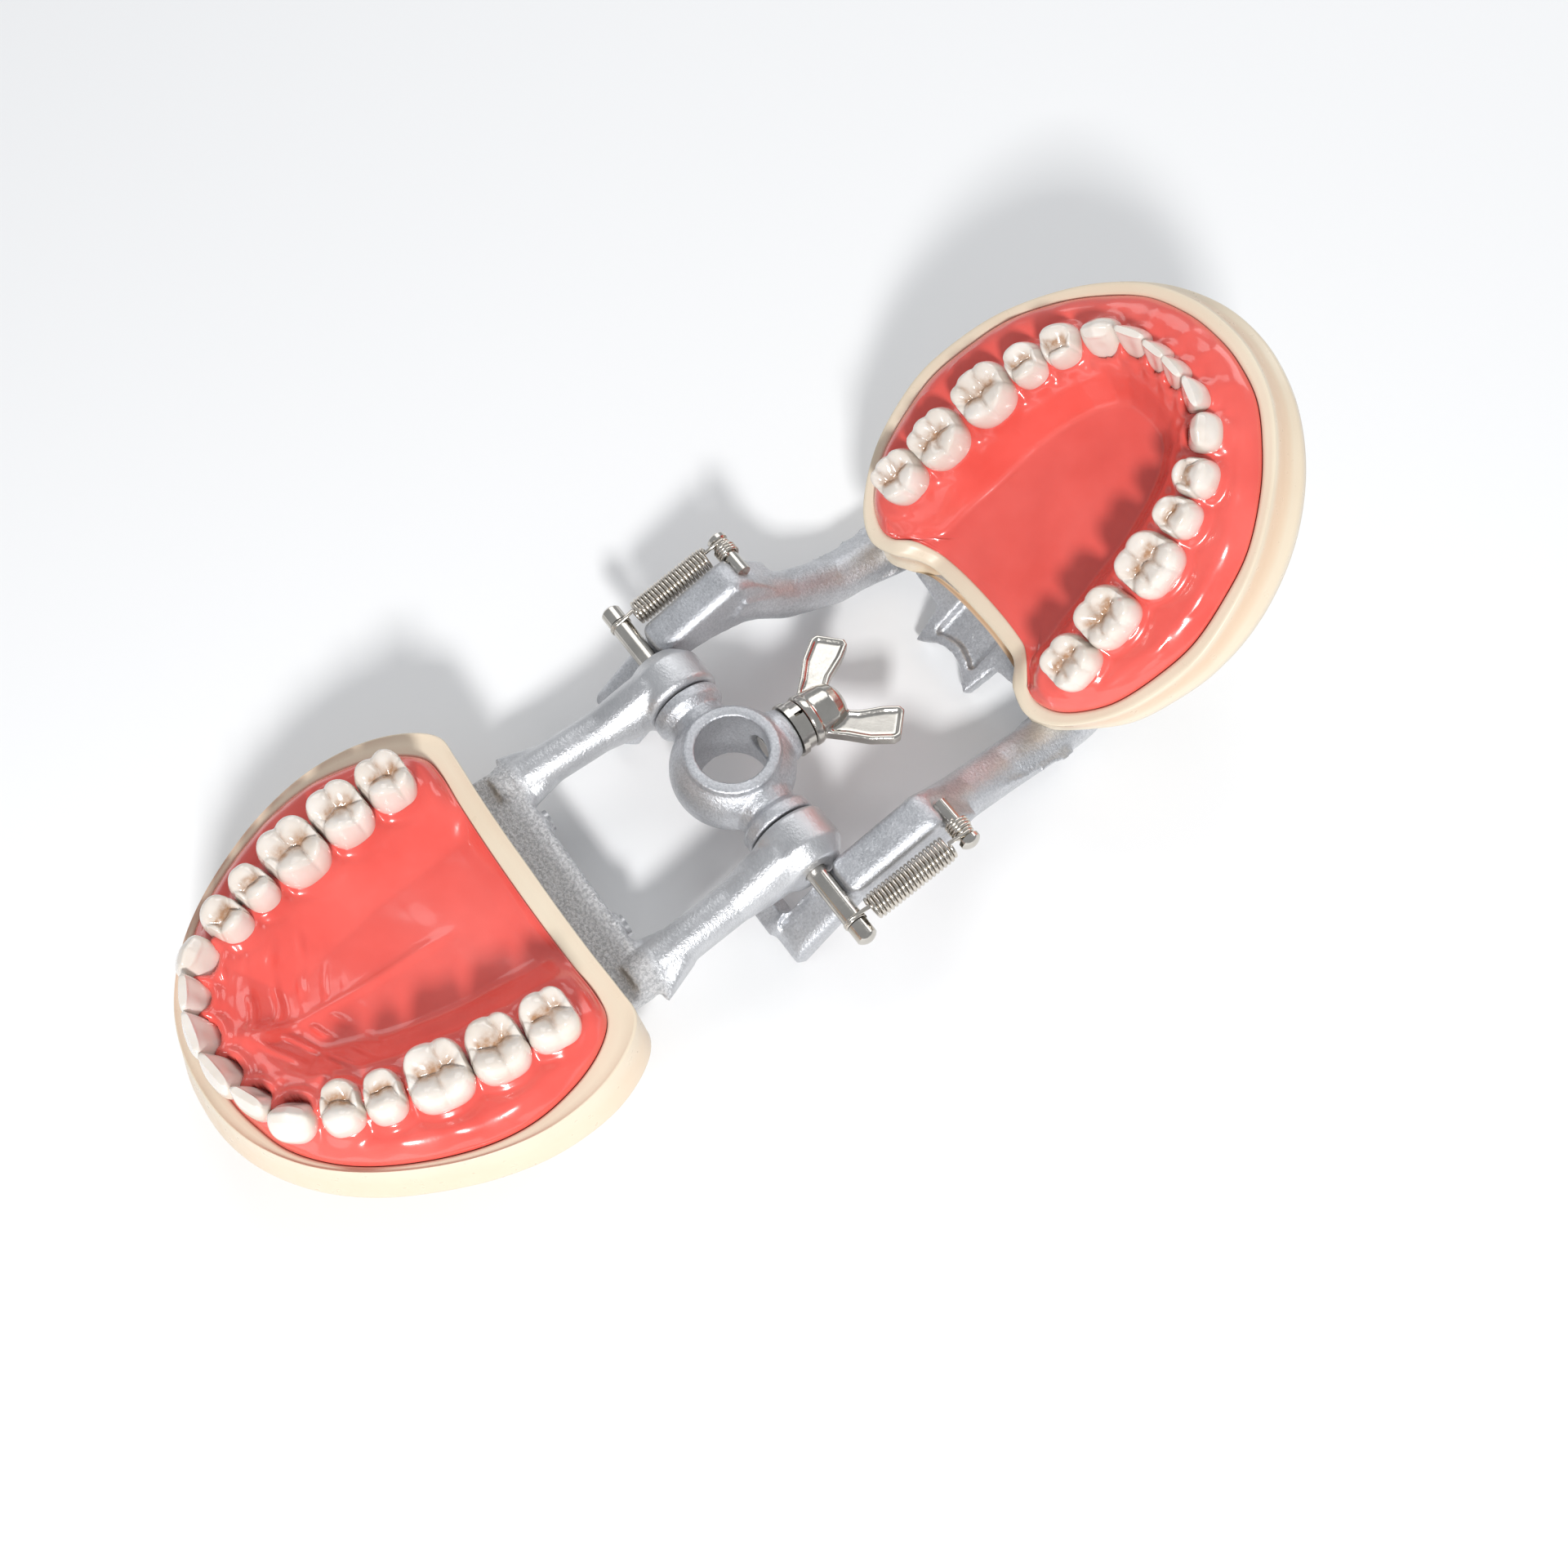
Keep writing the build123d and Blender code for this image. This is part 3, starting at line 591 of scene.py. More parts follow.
def spoke_lengths(half, steps):
    """Distances from the middle to a smooth mirrored outline, one for each step of angle."""
    loop = [Vector(p) for p in half] + [Vector((-x, y)) for x, y in reversed(half) if x > 0.01]
    fine = []
    for i in range(len(loop)):
        a, b, c, d = (loop[(i + k - 1) % len(loop)] for k in range(4))
        for j in range(40):
            t = j / 40
            fine.append(0.5 * (2 * b + (c - a) * t + (2 * a - 5 * b + 4 * c - d) * t * t
                               + (3 * b - a - 3 * c + d) * t ** 3))
    polar = sorted((math.atan2(p.y - MIDDLE, p.x) % math.tau, math.hypot(p.x, p.y - MIDDLE)) for p in fine)
    polar = [(polar[-1][0] - math.tau, polar[-1][1])] + polar + [(polar[0][0] + math.tau, polar[0][1])]
    lengths = []
    k = 0
    for i in range(steps):
        turn = math.tau * i / steps
        while polar[k + 1][0] < turn:
            k += 1
        (t0, r0), (t1, r1) = polar[k], polar[k + 1]
        lengths.append(r0 + (r1 - r0) * (turn - t0) / max(1e-9, t1 - t0))
    return lengths


def spun_disc(rings, steps, shape):
    """A line spun through a full turn, each vertex placed by shape(ring, step)."""
    bm = bmesh.new()
    line = [bm.verts.new((i, 0, 0)) for i in range(rings + 1)]
    edges = [bm.edges.new(pair) for pair in zip(line, line[1:])]
    bmesh.ops.spin(bm, geom=line + edges, cent=(0, 0, 0), axis=(0, 0, 1), angle=math.tau, steps=steps,
                   use_merge=True)
    for v in bm.verts:
        ring = round(math.hypot(v.co.x, v.co.y))
        step = round(math.atan2(v.co.y, v.co.x) / math.tau * steps) % steps
        v.co = shape(ring, step)
    bmesh.ops.remove_doubles(bm, verts=bm.verts, dist=1e-4)
    return bm


print("outlines turn about a point %.0f mm ahead of the hinge" % MIDDLE)

# %% [markdown]
# The gum's edge is a rounded D, longer on the mandible, with a notch behind the tongue.
# Many spokes keep the small forms round the teeth crisp without a subdivision.

# %% Gum outlines
STEPS = 400
gum_edge = {
    "upper": ((0, 103), (6, 102.7), (11.5, 101.5), (17.8, 99.2), (23.8, 94.6), (28.7, 88.6), (33.2, 80.3),
              (36.2, 71.8), (37.1, 63.9), (35.8, 55.9), (33.2, 49.8), (29.6, 46.0), (25.0, 45.2), (18, 45.6),
              (9, 45.9), (0, 46.0)),
    "lower": ((0, 110.0), (6.5, 109.4), (14.1, 106.9), (20.8, 101.9), (26.5, 96.0), (31.9, 88.0), (34.8, 79.8),
              (36.7, 70.6), (36.2, 62.2), (34.4, 53.9), (31.4, 48.3), (27.6, 44.2), (23.2, 42.5), (19.6, 43.6),
              (16.5, 46.0), (9, 47.4), (0, 47.8)),
}
spokes = {jaw: spoke_lengths(gum_edge[jaw], STEPS) for jaw in gum_edge}
spoke_way = [(math.cos(math.tau * i / STEPS), math.sin(math.tau * i / STEPS)) for i in range(STEPS)]
print("outlines:", {jaw: round(max(spokes[jaw]), 1) for jaw in spokes})

# %% [markdown]
# The gum's height is a field too, and it needs to know what lies near each point: the arch
# through the teeth, the gum's own edge, and the nearest teeth. Searching lists for that
# would take minutes, so the points go into k-d trees, which answer at once.

# %% What lies near
rim_level = {"upper": 9.0, "lower": -30.5}
floor_level = {"upper": 6.2, "lower": -35.4}
gum_depth = {"upper": 5.6, "lower": 5.9}


def tree_of(points):
    tree = mathutils.kdtree.KDTree(len(points))
    for i, p in enumerate(points):
        tree.insert((p[0], p[1], 0), i)
    tree.balance()
    return tree


def arch_line(jaw):
    """Points 0.2 mm apart along the teeth's middles, from end to end of the arch."""
    right = [m for _, m, _ in stands[jaw]]
    tail = right[-1] + (right[-1] - right[-2]).normalized() * 5
    corners = [tail] + list(reversed(right)) + [Vector((-m.x, m.y)) for m in right] + [Vector((-tail.x, tail.y))]
    line = []
    for a, b in zip(corners, corners[1:]):
        count = max(1, round((b - a).length / 0.2))
        line += [a.lerp(b, k / count) for k in range(count)]
    return line


def rim_of(jaw, x, y):
    """The base's rim, which dips behind the tongue on the mandible."""
    if jaw == "upper":
        return rim_level[jaw]
    dip = smooth_step((18.5 - abs(x)) / 7) * smooth_step((56 - y) / 8)
    return rim_level[jaw] - 4.6 * dip


print("rims at", rim_level, "mm")

# %% [markdown]
# The palate behind the front teeth has rugae, which are broken cross ridges, a fine raphe
# along the middle and a small papilla in front. Waves, hills and noise give them here,
# where a sculpted mesh would have been slower to make and to change.

# %% Palate folds
RUGA_STEP = 4.1


def palate_folds(x, y):
    """Height that the folds add to the palate, in millimetres."""
    front = smooth_step((y - 76) / 10) * smooth_step((96 - y) / 3)
    lean = y + 0.55 * abs(x) + 1.6 * wobble(x, y, 3, 7)
    waves = max(0.0, math.sin(lean * math.tau / RUGA_STEP)) ** 1.4
    broken = smooth_step(0.75 + 1.3 * wobble(x, y, 8, 5))
    beside = smooth_step((abs(x) - 0.8) / 1.6) * smooth_step((15 - abs(x)) / 4)
    rugae = 0.75 * waves * broken * front * beside
    raphe = 0.45 * hill(x, 0.7) * smooth_step((y - 56) / 10) * smooth_step((94 - y) / 3)
    papilla = 1.3 * hill(x, 1.5) * hill(y - 93.5, 2.4)
    front_rise = 2.2 * smooth_step((y - 70) / 26)
    return rugae + raphe + papilla + front_rise


print("folds add up to %.1f mm" % max(palate_folds(x / 2, y) for x in range(30) for y in range(50, 96)))

# %% [markdown]
# Round the neck of each tooth the gum rolls up to a margin with a shallow groove outside
# it, and a papilla stands where two teeth meet. A point's place against a tooth is worked
# out in the tooth's own directions, as a share of its rounded outline.

# %% Margins
FAR_TOOTH = 11
UNDER_CROWN = 0.9
SQUARENESS = 2.4


def neck_outlines(jaw):
    """Side, middle, distal direction, half sizes and shift of every neck in a jaw."""
    necks = []
    for name, middle, distal in stands[jaw]:
        width, depth, along, cheek, tongue, _, _ = kinds[jaw][name]
        half = (0.96 * along[0] * width / 2, 0.98 * (cheek[0] + tongue[0]) / 2 * depth / 2)
        shift = (cheek[0] - tongue[0]) / 2 * depth / 2
        necks += [(side, middle, distal, half, shift) for side in (1, -1)]
    return necks


def neck_relief(x, y, near, edge, inside):
    """Height of the margins, share of a papilla, and whether a crown covers the point."""
    margin, between, hidden = 0.0, 0.0, False
    for side, middle, distal, half, shift in near:
        dx, dy = side * x - middle.x, y - middle.y
        u = dx * distal.x + dy * distal.y
        v = -dx * distal.y + dy * distal.x - shift
        norm = (abs(u / half[0]) ** SQUARENESS + abs(v / half[1]) ** SQUARENESS) ** (1 / SQUARENESS)
        gap = (norm - 1) * math.hypot(u, v) / max(0.2, norm)
        if norm < 0.93:
            hidden = True
        margin += 0.62 * hill(gap - 0.75, 0.55) - 0.22 * hill(gap - 2.3, 0.6)
        between = max(between, smooth_step((abs(u) - 0.55 * half[0]) / half[0]) * hill(v, 1.15 * half[1]))
        if not inside:
            margin += 0.42 * hill(u, 0.55 * half[0]) * hill(edge - 2.6, 1.5)
    return margin, between, hidden


print("necks:", {jaw: len(neck_outlines(jaw)) for jaw in kinds})

# %% [markdown]
# The gum itself is a ridge that follows the arch of the teeth and falls to the base's rim
# outside, and to the palate or the tongue's floor inside. The folds and the margins are
# added to that, and the whole field is laid over a spun disc.

# %% Gum shape
def gum_surface(jaw):
    """The height of a jaw's gum, as a function of a point in the jaw's plane."""
    line = arch_line(jaw)
    arch = tree_of(line)
    outline = tree_of([(spokes[jaw][i] * spoke_way[i][0], MIDDLE + spokes[jaw][i] * spoke_way[i][1])
                       for i in range(STEPS)])
    necks = neck_outlines(jaw)
    neck_tree = tree_of([(side * middle.x, middle.y) for side, middle, _, _, _ in necks])
    top, low = gum_top[jaw], floor_level[jaw]
    inner_half, fall = (4.6, 9.5) if jaw == "upper" else (4.4, 6.2)

    def height(x, y):
        _, spot, away = arch.find((x, y, 0))
        edge = outline.find((x, y, 0))[2]
        nearest = line[spot]
        inside = math.hypot(x, y - MIDDLE) < math.hypot(nearest.x, nearest.y - MIDDLE) and y < 104
        if inside:
            deep = smooth_step((away - inner_half) / fall)
            level = top - (top - low) * deep
            if jaw == "upper":
                level += palate_folds(x, y)
            level += 0.5 * wobble(x, y, 1, 9) * deep
        else:
            level = top
        near = [necks[i] for _, i, gap in neck_tree.find_n((x, y, 0), 3) if gap <= FAR_TOOTH]
        margin, between, hidden = neck_relief(x, y, near, edge, inside)
        rim = rim_of(jaw, x, y)
        if away < 5.5:
            level += 0.8 * between * smooth_step((5.5 - away) / 2)
        lift = math.sin(0.5 * math.pi * min(1.0, edge / 4.2)) ** 0.75
        if hidden:
            return top - UNDER_CROWN
        return rim + (level - rim) * lift + margin * smooth_step(edge / 1.2)

    return height


def make_gum(jaw, surface_rings=125):
    height = gum_surface(jaw)
    foot = rim_level[jaw] - gum_depth[jaw]
    tail = ((1.0, -0.25), (0.995, -0.8), (0.99, None), (0.0, None))

    def shape(ring, step):
        way = spoke_way[step]
        if ring <= surface_rings:
            reach = spokes[jaw][step] * ring / surface_rings
            x, y = reach * way[0], MIDDLE + reach * way[1]
            return x, y, height(x, y)
        share, sink = tail[ring - surface_rings - 1]
        reach = spokes[jaw][step] * share
        x, y = reach * way[0], MIDDLE + reach * way[1]
        return x, y, foot if sink is None else rim_of(jaw, x, y) + sink

    bm = spun_disc(surface_rings + len(tail), STEPS, shape)
    piece = finish_piece(bm, f"{jaw}_gum_resin", gum_resin, body_of[jaw], to_frame[jaw])
    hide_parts(f"{jaw}_gum")
    print(piece.name, len(piece.data.polygons), "faces")


for jaw in kinds:
    make_gum(jaw)

# %% [markdown]
# A base's foot and rim are two more outlines about the same middle point, so they can be
# blended spoke by spoke with the gum's edge.

# %% Base outlines
base_edge = {
    "upper_foot": ((0, 108.5), (8, 107.7), (16, 104.6), (24, 98.8), (31.0, 90.4), (37.0, 79.0), (40.3, 69.0),
                   (41.35, 60.5), (40.6, 52.0), (37.8, 45.0), (34.0, 41.0), (29.0, 40.6), (19, 40.9), (9, 41.1),
                   (0, 41.1)),
    "upper_rim": ((0, 106.0), (8, 105.2), (15.6, 102.4), (23.2, 97.0), (29.9, 89.0), (35.7, 78.4), (38.9, 68.6),
                  (39.8, 60.5), (38.8, 52.4), (35.9, 45.6), (31.9, 41.6), (26.6, 41.4), (18, 41.8), (9, 42.0),
                  (0, 42.0)),
    "lower_foot": ((0, 114.9), (8, 113.9), (17, 110.4), (25.5, 104.3), (32.4, 96.4), (37.2, 87.6), (40.1, 77.8),
                   (40.7, 67.8), (39.2, 58.9), (36.6, 51.0), (32.0, 44.4), (26.4, 38.6), (22.0, 36.9), (17.4, 38.8),
                   (13, 41.2), (6, 42.2), (0, 42.4)),
    "lower_rim": ((0, 112.6), (7.6, 111.8), (15.6, 108.8), (23.0, 103.2), (29.2, 96.0), (34.5, 87.4), (37.6, 79.0),
                  (39.4, 69.6), (38.7, 61.0), (36.6, 53.2), (33.0, 46.6), (28.6, 41.6), (23.6, 39.4), (18.6, 40.8),
                  (14, 43.4), (7, 44.3), (0, 44.4)),
}
edge_spokes = {name: spoke_lengths(base_edge[name], STEPS) for name in base_edge}
print("base outlines:", len(edge_spokes))

# %% [markdown]
# Each base is a ring of loops round the gum. The maxilla's has a level rim with a thin
# raised line at its outer edge. The mandible's has a hollow cove under the rim and then a
# wide flange. Small extra loops beside each edge round it off, as moulded resin is.

# %% Bases
def make_base(jaw, loops):
    """A base from its loops: (share from gum edge 0 to rim 1 to foot 2, inset, height above the rim, level)."""
    def shape(ring, step):
        blend, inset, lift, level = loops[ring]
        inner, rim, outer = spokes[jaw][step], edge_spokes[f"{jaw}_rim"][step], edge_spokes[f"{jaw}_foot"][step]
        if blend is None:
            return 0, MIDDLE, level
        if blend <= 1:
            reach = inner + (rim - inner) * blend
        else:
            reach = rim + (outer - rim) * (blend - 1)
        reach -= inset
        x, y = reach * spoke_way[step][0], MIDDLE + reach * spoke_way[step][1]
        if level is None:
            z = rim_of(jaw, x, y) + lift
        else:
            z = level
        return x, y, z

    bm = spun_disc(len(loops) - 1, STEPS, shape)
    # Painted shade: how much of the darker, warmer tone each vertex takes, strong in the cove under the mandible's
    # rim and weaker low on the maxilla's wall
    painted_shade_layer = bm.verts.layers.float.new("painted_shade")
    for v in bm.verts:
        if jaw == "lower":
            under = rim_of(jaw, v.co.x, v.co.y) - v.co.z
            v[painted_shade_layer] = 0.85 * smooth_step((under - 0.5) / 1.6) * smooth_step((7.6 - under) / 2.6)
        else:
            v[painted_shade_layer] = 0.30 * smooth_step((8.0 - v.co.z) / 4)
    piece = finish_piece(bm, f"{jaw}_base_resin", ivory_resin, body_of[jaw], to_frame[jaw])
    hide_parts(f"{jaw}_base")
    print(piece.name, len(piece.data.polygons), "faces")


make_base("upper", (
    (None, 0, 0, 3.2), (0, 0.5, 0, 3.2), (0, -0.05, -0.5, None), (0, -0.3, -0.08, None), (0, -0.6, 0, None),
    (0.5, 0, 0.02, None), (0.80, 0, 0.05, None), (0.9, 0, 0.34, None), (0.95, 0, 0.40, None),
    (1.0, 0.0, 0.16, None), (1.03, 0, -0.15, None), (1.25, 0, -2.6, None), (1.5, 0, -5.2, None),
    (1.8, 0, -8.2, None), (1.97, 0, -10.0, None), (2, 0.05, 0, -1.4), (2, 0.45, 0, -1.8), (None, 0, 0, -1.8)))
make_base("lower", (
    (None, 0, 0, -36.8), (0, 0.5, 0, -36.8), (0, -0.05, -0.5, None), (0, -0.3, -0.08, None),
    (0.35, 0, 0.0, None), (0.7, 0, 0.05, None), (0.92, 0, 0.1, None), (1.0, 0, -0.1, None),
    (1.04, 0, -0.6, None), (1.1, 0, -2.2, None), (1.16, 0, -4.2, None), (1.3, 0, -6.0, None),
    (1.55, 0, -7.3, None), (1.85, 0, -8.2, None), (1.96, 0, -8.6, None), (2, 0.0, 0, -39.6),
    (2, 0.1, 0, -41.4), (2, 0.5, 0, -42.0), (None, 0, 0, -42.0)))

# %% [markdown]
# The castings start from copies of the frame's own meshes, so every face that something
# bears on stays where it is. Fillets and weld beads are added as overlapping hulls and
# flattened balls. A fine voxel remesh then melts all of it into one skin, and smoothing
# rounds the edges as a sand mould does.

# %% Casting helpers
def ring_points(middle, way, wide, high, count=20):
    """An ellipse of points round a middle, across a direction."""
    way = Vector(way).normalized()
    side = way.cross(Vector((0, 0, 1))).normalized()
    up = side.cross(way)
    middle = Vector(middle)
    return [middle + side * wide * math.cos(math.tau * k / count) + up * high * math.sin(math.tau * k / count)
            for k in range(count)]


def add_hull(bm, points):
    """A closed convex solid round some points."""
    made = [bm.verts.new(p) for p in points]
    hull = bmesh.ops.convex_hull(bm, input=made)
    spare = {e for e in hull["geom_interior"] + hull["geom_unused"] if isinstance(e, bmesh.types.BMVert)}
    bmesh.ops.delete(bm, geom=list(spare), context="VERTS")


def add_bead(bm, middle, size, seed):
    """A lumpy flattened ball, for a weld bead or a casting blob."""
    made = bmesh.ops.create_icosphere(bm, subdivisions=3, radius=1)["verts"]
    for v in made:
        grow = 1 + 0.35 * mathutils.noise.noise(v.co * 1.7 + Vector((seed, 0, 0)))
        v.co = Vector(middle) + Vector([v.co[i] * size[i] * grow for i in range(3)])


def cast_piece(bm, name, finish, body, place, node, voxel, rounds):
    """Remesh and smooth a union of closed solids, and let it stand for a CAD node."""
    piece = finish_piece(bm, name, finish, body, place)
    melt = piece.modifiers.new("melt", "REMESH")
    melt.mode = "VOXEL"
    melt.voxel_size = voxel * MM
    melt.use_smooth_shade = True
    soften = piece.modifiers.new("soften", "SMOOTH")
    soften.factor = 0.5
    soften.iterations = rounds
    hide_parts(node)
    return piece


def node_copy(node, place):
    """A merged copy of a CAD node's mesh, in the millimetres that a placement undoes."""
    bm = bmesh.new()
    bm.from_mesh(nodes[node].data)
    bmesh.ops.transform(bm, matrix=place.inverted(), verts=bm.verts)
    bmesh.ops.remove_doubles(bm, verts=bm.verts, dist=0.001)
    return bm


in_mm = Matrix.Scale(MM, 4)
print("casting helpers ready")

# %% [markdown]
# The bar across the back of the maxilla's frame kept the coarse skin of the mould, while
# the arms were filed smooth. One finish does both: the coarse grain and its speckle are
# faded in along Y, over the short stretch where the arms meet the bar.

# %% Bar skin
bar_skin, shader, links, made = new_finish("maxilla_cast", (0.62, 0.625, 0.64), 0.4, 0.85)
tone = ramp(links, made, noise(links, made, 120, 4), ((0.3, (0.54, 0.545, 0.56)), (0.7, (0.68, 0.685, 0.70))))
links.new(remap(links, made, noise(links, made, 900, 5, 0.7), 0.3, 0.7, 0.28, 0.46), shader.inputs["Roughness"])
where = made.new("ShaderNodeSeparateXYZ")
place = made.new("ShaderNodeTexCoord")
links.new(place.outputs["Object"], where.inputs["Vector"])
ARM_END, BAR_START = -0.0322, -0.0340
coarse = remap(links, made, where.outputs["Y"], ARM_END, BAR_START, 0.06, 1.0)
speckle = ramp(links, made, noise(links, made, 1700, 3, 0.7),
               ((0.42, (0.44, 0.445, 0.46)), (0.58, (0.80, 0.80, 0.81))))
skin = made.new("ShaderNodeMix")
skin.data_type = "RGBA"
links.new(remap(links, made, where.outputs["Y"], ARM_END, BAR_START, 0.0, 0.7), skin.inputs["Factor"])
links.new(tone, skin.inputs["A"])
links.new(speckle, skin.inputs["B"])
links.new(skin.outputs["Result"], shader.inputs["Base Color"])
grain = made.new("ShaderNodeMath")
grain.operation = "MULTIPLY"
links.new(noise(links, made, 1500, 5, 0.7), grain.inputs[0])
links.new(coarse, grain.inputs[1])
first = bump(links, made, shader, noise(links, made, 1900, 4, 0.6), 0.42, 0.0003)
bump(links, made, shader, grain.outputs[0], 0.8, 0.0006, first)
print(bar_skin.name, len(made), "shader nodes")

# %% [markdown]
# The maxilla's frame has that bar across the back, and two round arms that flare into the
# bar and into the ears. Beads of metal were left at the corners where they meet.

# %% Maxilla frame
bm = node_copy("upper_frame", in_mm)
for side in (1, -1):
    add_hull(bm, ring_points((side * 22.6, -34.4, -4.1), (0, 1, 0), 6.6, 2.5)
             + ring_points((side * 22.2, -31.0, -4.0), (0, 1, 0), 5.0, 3.9)
             + ring_points((side * 22.1, -26.5, -3.2), (0, 1, 0), 4.1, 4.1))
    add_hull(bm, ring_points((side * 21.3, -15.5, -1.4), (0, 1, 0), 4.05, 4.05)
             + ring_points((side * 21.0, -9.0, -0.6), (0, 1, 0), 4.9, 5.4)
             + ring_points((side * 20.9, -5.0, 0), (0, 1, 0), 4.9, 6.6))
    add_bead(bm, (side * 17.4, -34.3, -2.3), (1.6, 1.3, 0.8), side)
    add_bead(bm, (side * 25.6, -34.9, -2.5), (1.5, 1.2, 0.8), 3 * side)
    add_bead(bm, (side * 12.3, -33.2, -3.6), (2.3, 0.9, 1.6), 7 * side)
piece = cast_piece(bm, "maxilla_frame_casting", bar_skin, "upper_jaw", in_mm, "upper_frame",
                   voxel=0.42, rounds=5)
print(piece.name, "made")

# %% [markdown]
# The mandible's frame carries two goosenecks. Each one is a tapered beam with a crest
# along its outer side, and it ends in a fork half with a flat sloping facet. Hulls give
# the goosenecks their flat inner faces, which a plain tube wouldn't have.

# %% Mandible frame
bm = node_copy("lower_frame", to_frame["lower"])
bmesh.ops.dissolve_limit(bm, angle_limit=math.radians(2), verts=bm.verts, edges=bm.edges)
fork_edges = [e for e in bm.edges if len(e.link_faces) == 2 and e.calc_face_angle(0) > 0.45
              and all(abs(v.co.x) > 26 and -16.3 < v.co.y < 23 and v.co.z > -14 for v in e.verts)]
bmesh.ops.bevel(bm, geom=fork_edges, offset=1.9, segments=4, profile=0.5, affect="EDGES", material=-1)
print("fork edges rounded:", len(fork_edges))
for side in (1, -1):
    web = [[(29.6, 12.0, -7.0), (26.3, 12.0, -7.2), (32.6, 14.5, -7.4), (27.0, 16.0, -18.0)],
           [(30.6, 19.0, -12.0), (25.0, 18.6, -15.5), (31.6, 21.4, -15.0), (25.8, 20.0, -23.5)],
           [(28.8, 24.6, -24.0), (23.2, 22.4, -28.0), (30.6, 24.8, -26.0), (23.6, 25.0, -33.5)],
           [(28.6, 30.0, -32.6), (21.6, 29.0, -37.4), (31.6, 31.0, -35.0), (21.8, 32.6, -42.0)],
           [(28.6, 38.0, -40.0), (20.2, 36.4, -43.0), (32.8, 38.4, -42.4), (20.2, 38.4, -46.6)]]
    for near, far in zip(web, web[1:]):
        add_hull(bm, [(side * x, f, n) for x, f, n in near + far])
    add_bead(bm, (side * 24.0, 36.0, -41.0), (1.6, 1.3, 1.0), 11 * side)
    add_bead(bm, (side * 31.6, 19.6, -8.6), (1.3, 1.6, 0.9), 13 * side)
piece = cast_piece(bm, "mandible_frame_casting", cast_alloy, "lower_jaw", to_frame["lower"],
                   "lower_frame", voxel=0.42, rounds=9)
print(piece.name, "made")

# %% [markdown]
# The hub is a thick bored ball with flared trunnions and a boss for the wing screw. Its
# bore and its faces come from the frame's own mesh, so they stay in place, and only the
# saddles between ball and trunnions are filled with short cones.

# %% Hub
bm = node_copy("hub", in_mm)
for side in (1, -1):
    add_hull(bm, ring_points((side * 8.6, 0, 0), (1, 0, 0), 6.4, 6.4)
             + ring_points((side * 11.6, 0, 0), (1, 0, 0), 5.7, 5.7))
piece = cast_piece(bm, "hub_casting", cast_alloy, "hub", in_mm, "hub", voxel=0.32, rounds=4)
print(piece.name, "made")

# %% [markdown]
# The wing screw is forged. Its body is a line spun round the screw's axis, and each wing
# is a flat outline extruded to a plate and inset on both faces, which leaves the raised
# rim. A light remesh joins wings and body with small fillets.

# %% Wing screw
WING_THICK = 2.5
bm = bmesh.new()
profile = ((0.0, 6.9), (2.3, 6.9), (2.9, 7.6), (2.9, 15.8), (4.9, 15.85), (5.25, 16.2), (5.25, 17.3), (4.9, 17.9),
           (4.8, 20.0), (4.7, 21.6), (4.0, 23.4), (2.6, 24.4), (0.0, 24.7))
line = [bm.verts.new((r, y, 0)) for r, y in profile]
edges = [bm.edges.new(pair) for pair in zip(line, line[1:])]
bmesh.ops.spin(bm, geom=line + edges, cent=(0, 0, 0), axis=(0, 1, 0), angle=math.tau, steps=48, use_merge=True)
bmesh.ops.remove_doubles(bm, verts=bm.verts, dist=1e-4)
wing = ((4.4, 17.4), (7.4, 20.6), (10.6, 23.6), (13.2, 27.4), (13.3, 28.8), (9.4, 32.6), (8.2, 32.4), (6.4, 29.8),
        (4.4, 25.6), (1.6, 22.0))
for side in (1, -1):
    corners = [bm.verts.new((side * x, y, -WING_THICK / 2)) for x, y in wing]
    face = bm.faces.new(corners)
    out = bmesh.ops.extrude_face_region(bm, geom=[face])
    moved = [e for e in out["geom"] if isinstance(e, bmesh.types.BMVert)]
    bmesh.ops.translate(bm, verts=moved, vec=(0, 0, WING_THICK))
    lid = [e for e in out["geom"] if isinstance(e, bmesh.types.BMFace)][0]
    for flat in (face, lid):
        bmesh.ops.inset_region(bm, faces=[flat], thickness=0.75, depth=0)
        bmesh.ops.inset_region(bm, faces=[flat], thickness=0.35, depth=0)
        inward = 0.5 if flat is face else -0.5
        bmesh.ops.translate(bm, verts=flat.verts, vec=(0, 0, inward))
piece = cast_piece(bm, "wing_screw_forging", nickel, "wing_screw", in_mm, "wing_screw",
                   voxel=0.22, rounds=3)
print(piece.name, "made")

# %% [markdown]
# A spring is one long wire. Its centreline is a list of points: two turns round the pin's
# groove, a straight lead, the close coil, another lead, and a few small turns along the
# stud.

# %% The springs' centreline
WIRE = 0.38
COIL = 2.22
PIN_CORE = 1.5
PIN_TURNS, COIL_TURNS, STUD_TURNS = 1.75, 21, 5.0
PIN_LEAD, STUD_LEAD = 3.6, 3.4
pin_spot = Vector((37.4, 0, 0))
stud_low, stud_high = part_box("spring_stud_right")
stud_spot = Vector((37.4, (stud_low[1] + stud_high[1]) / 2 / MM, (stud_low[2] + stud_high[2]) / 2 / MM))
run = (stud_spot - pin_spot).length
along = (stud_spot - pin_spot).normalized()
out_way = Vector((1, 0, 0))
up_way = out_way.cross(along)


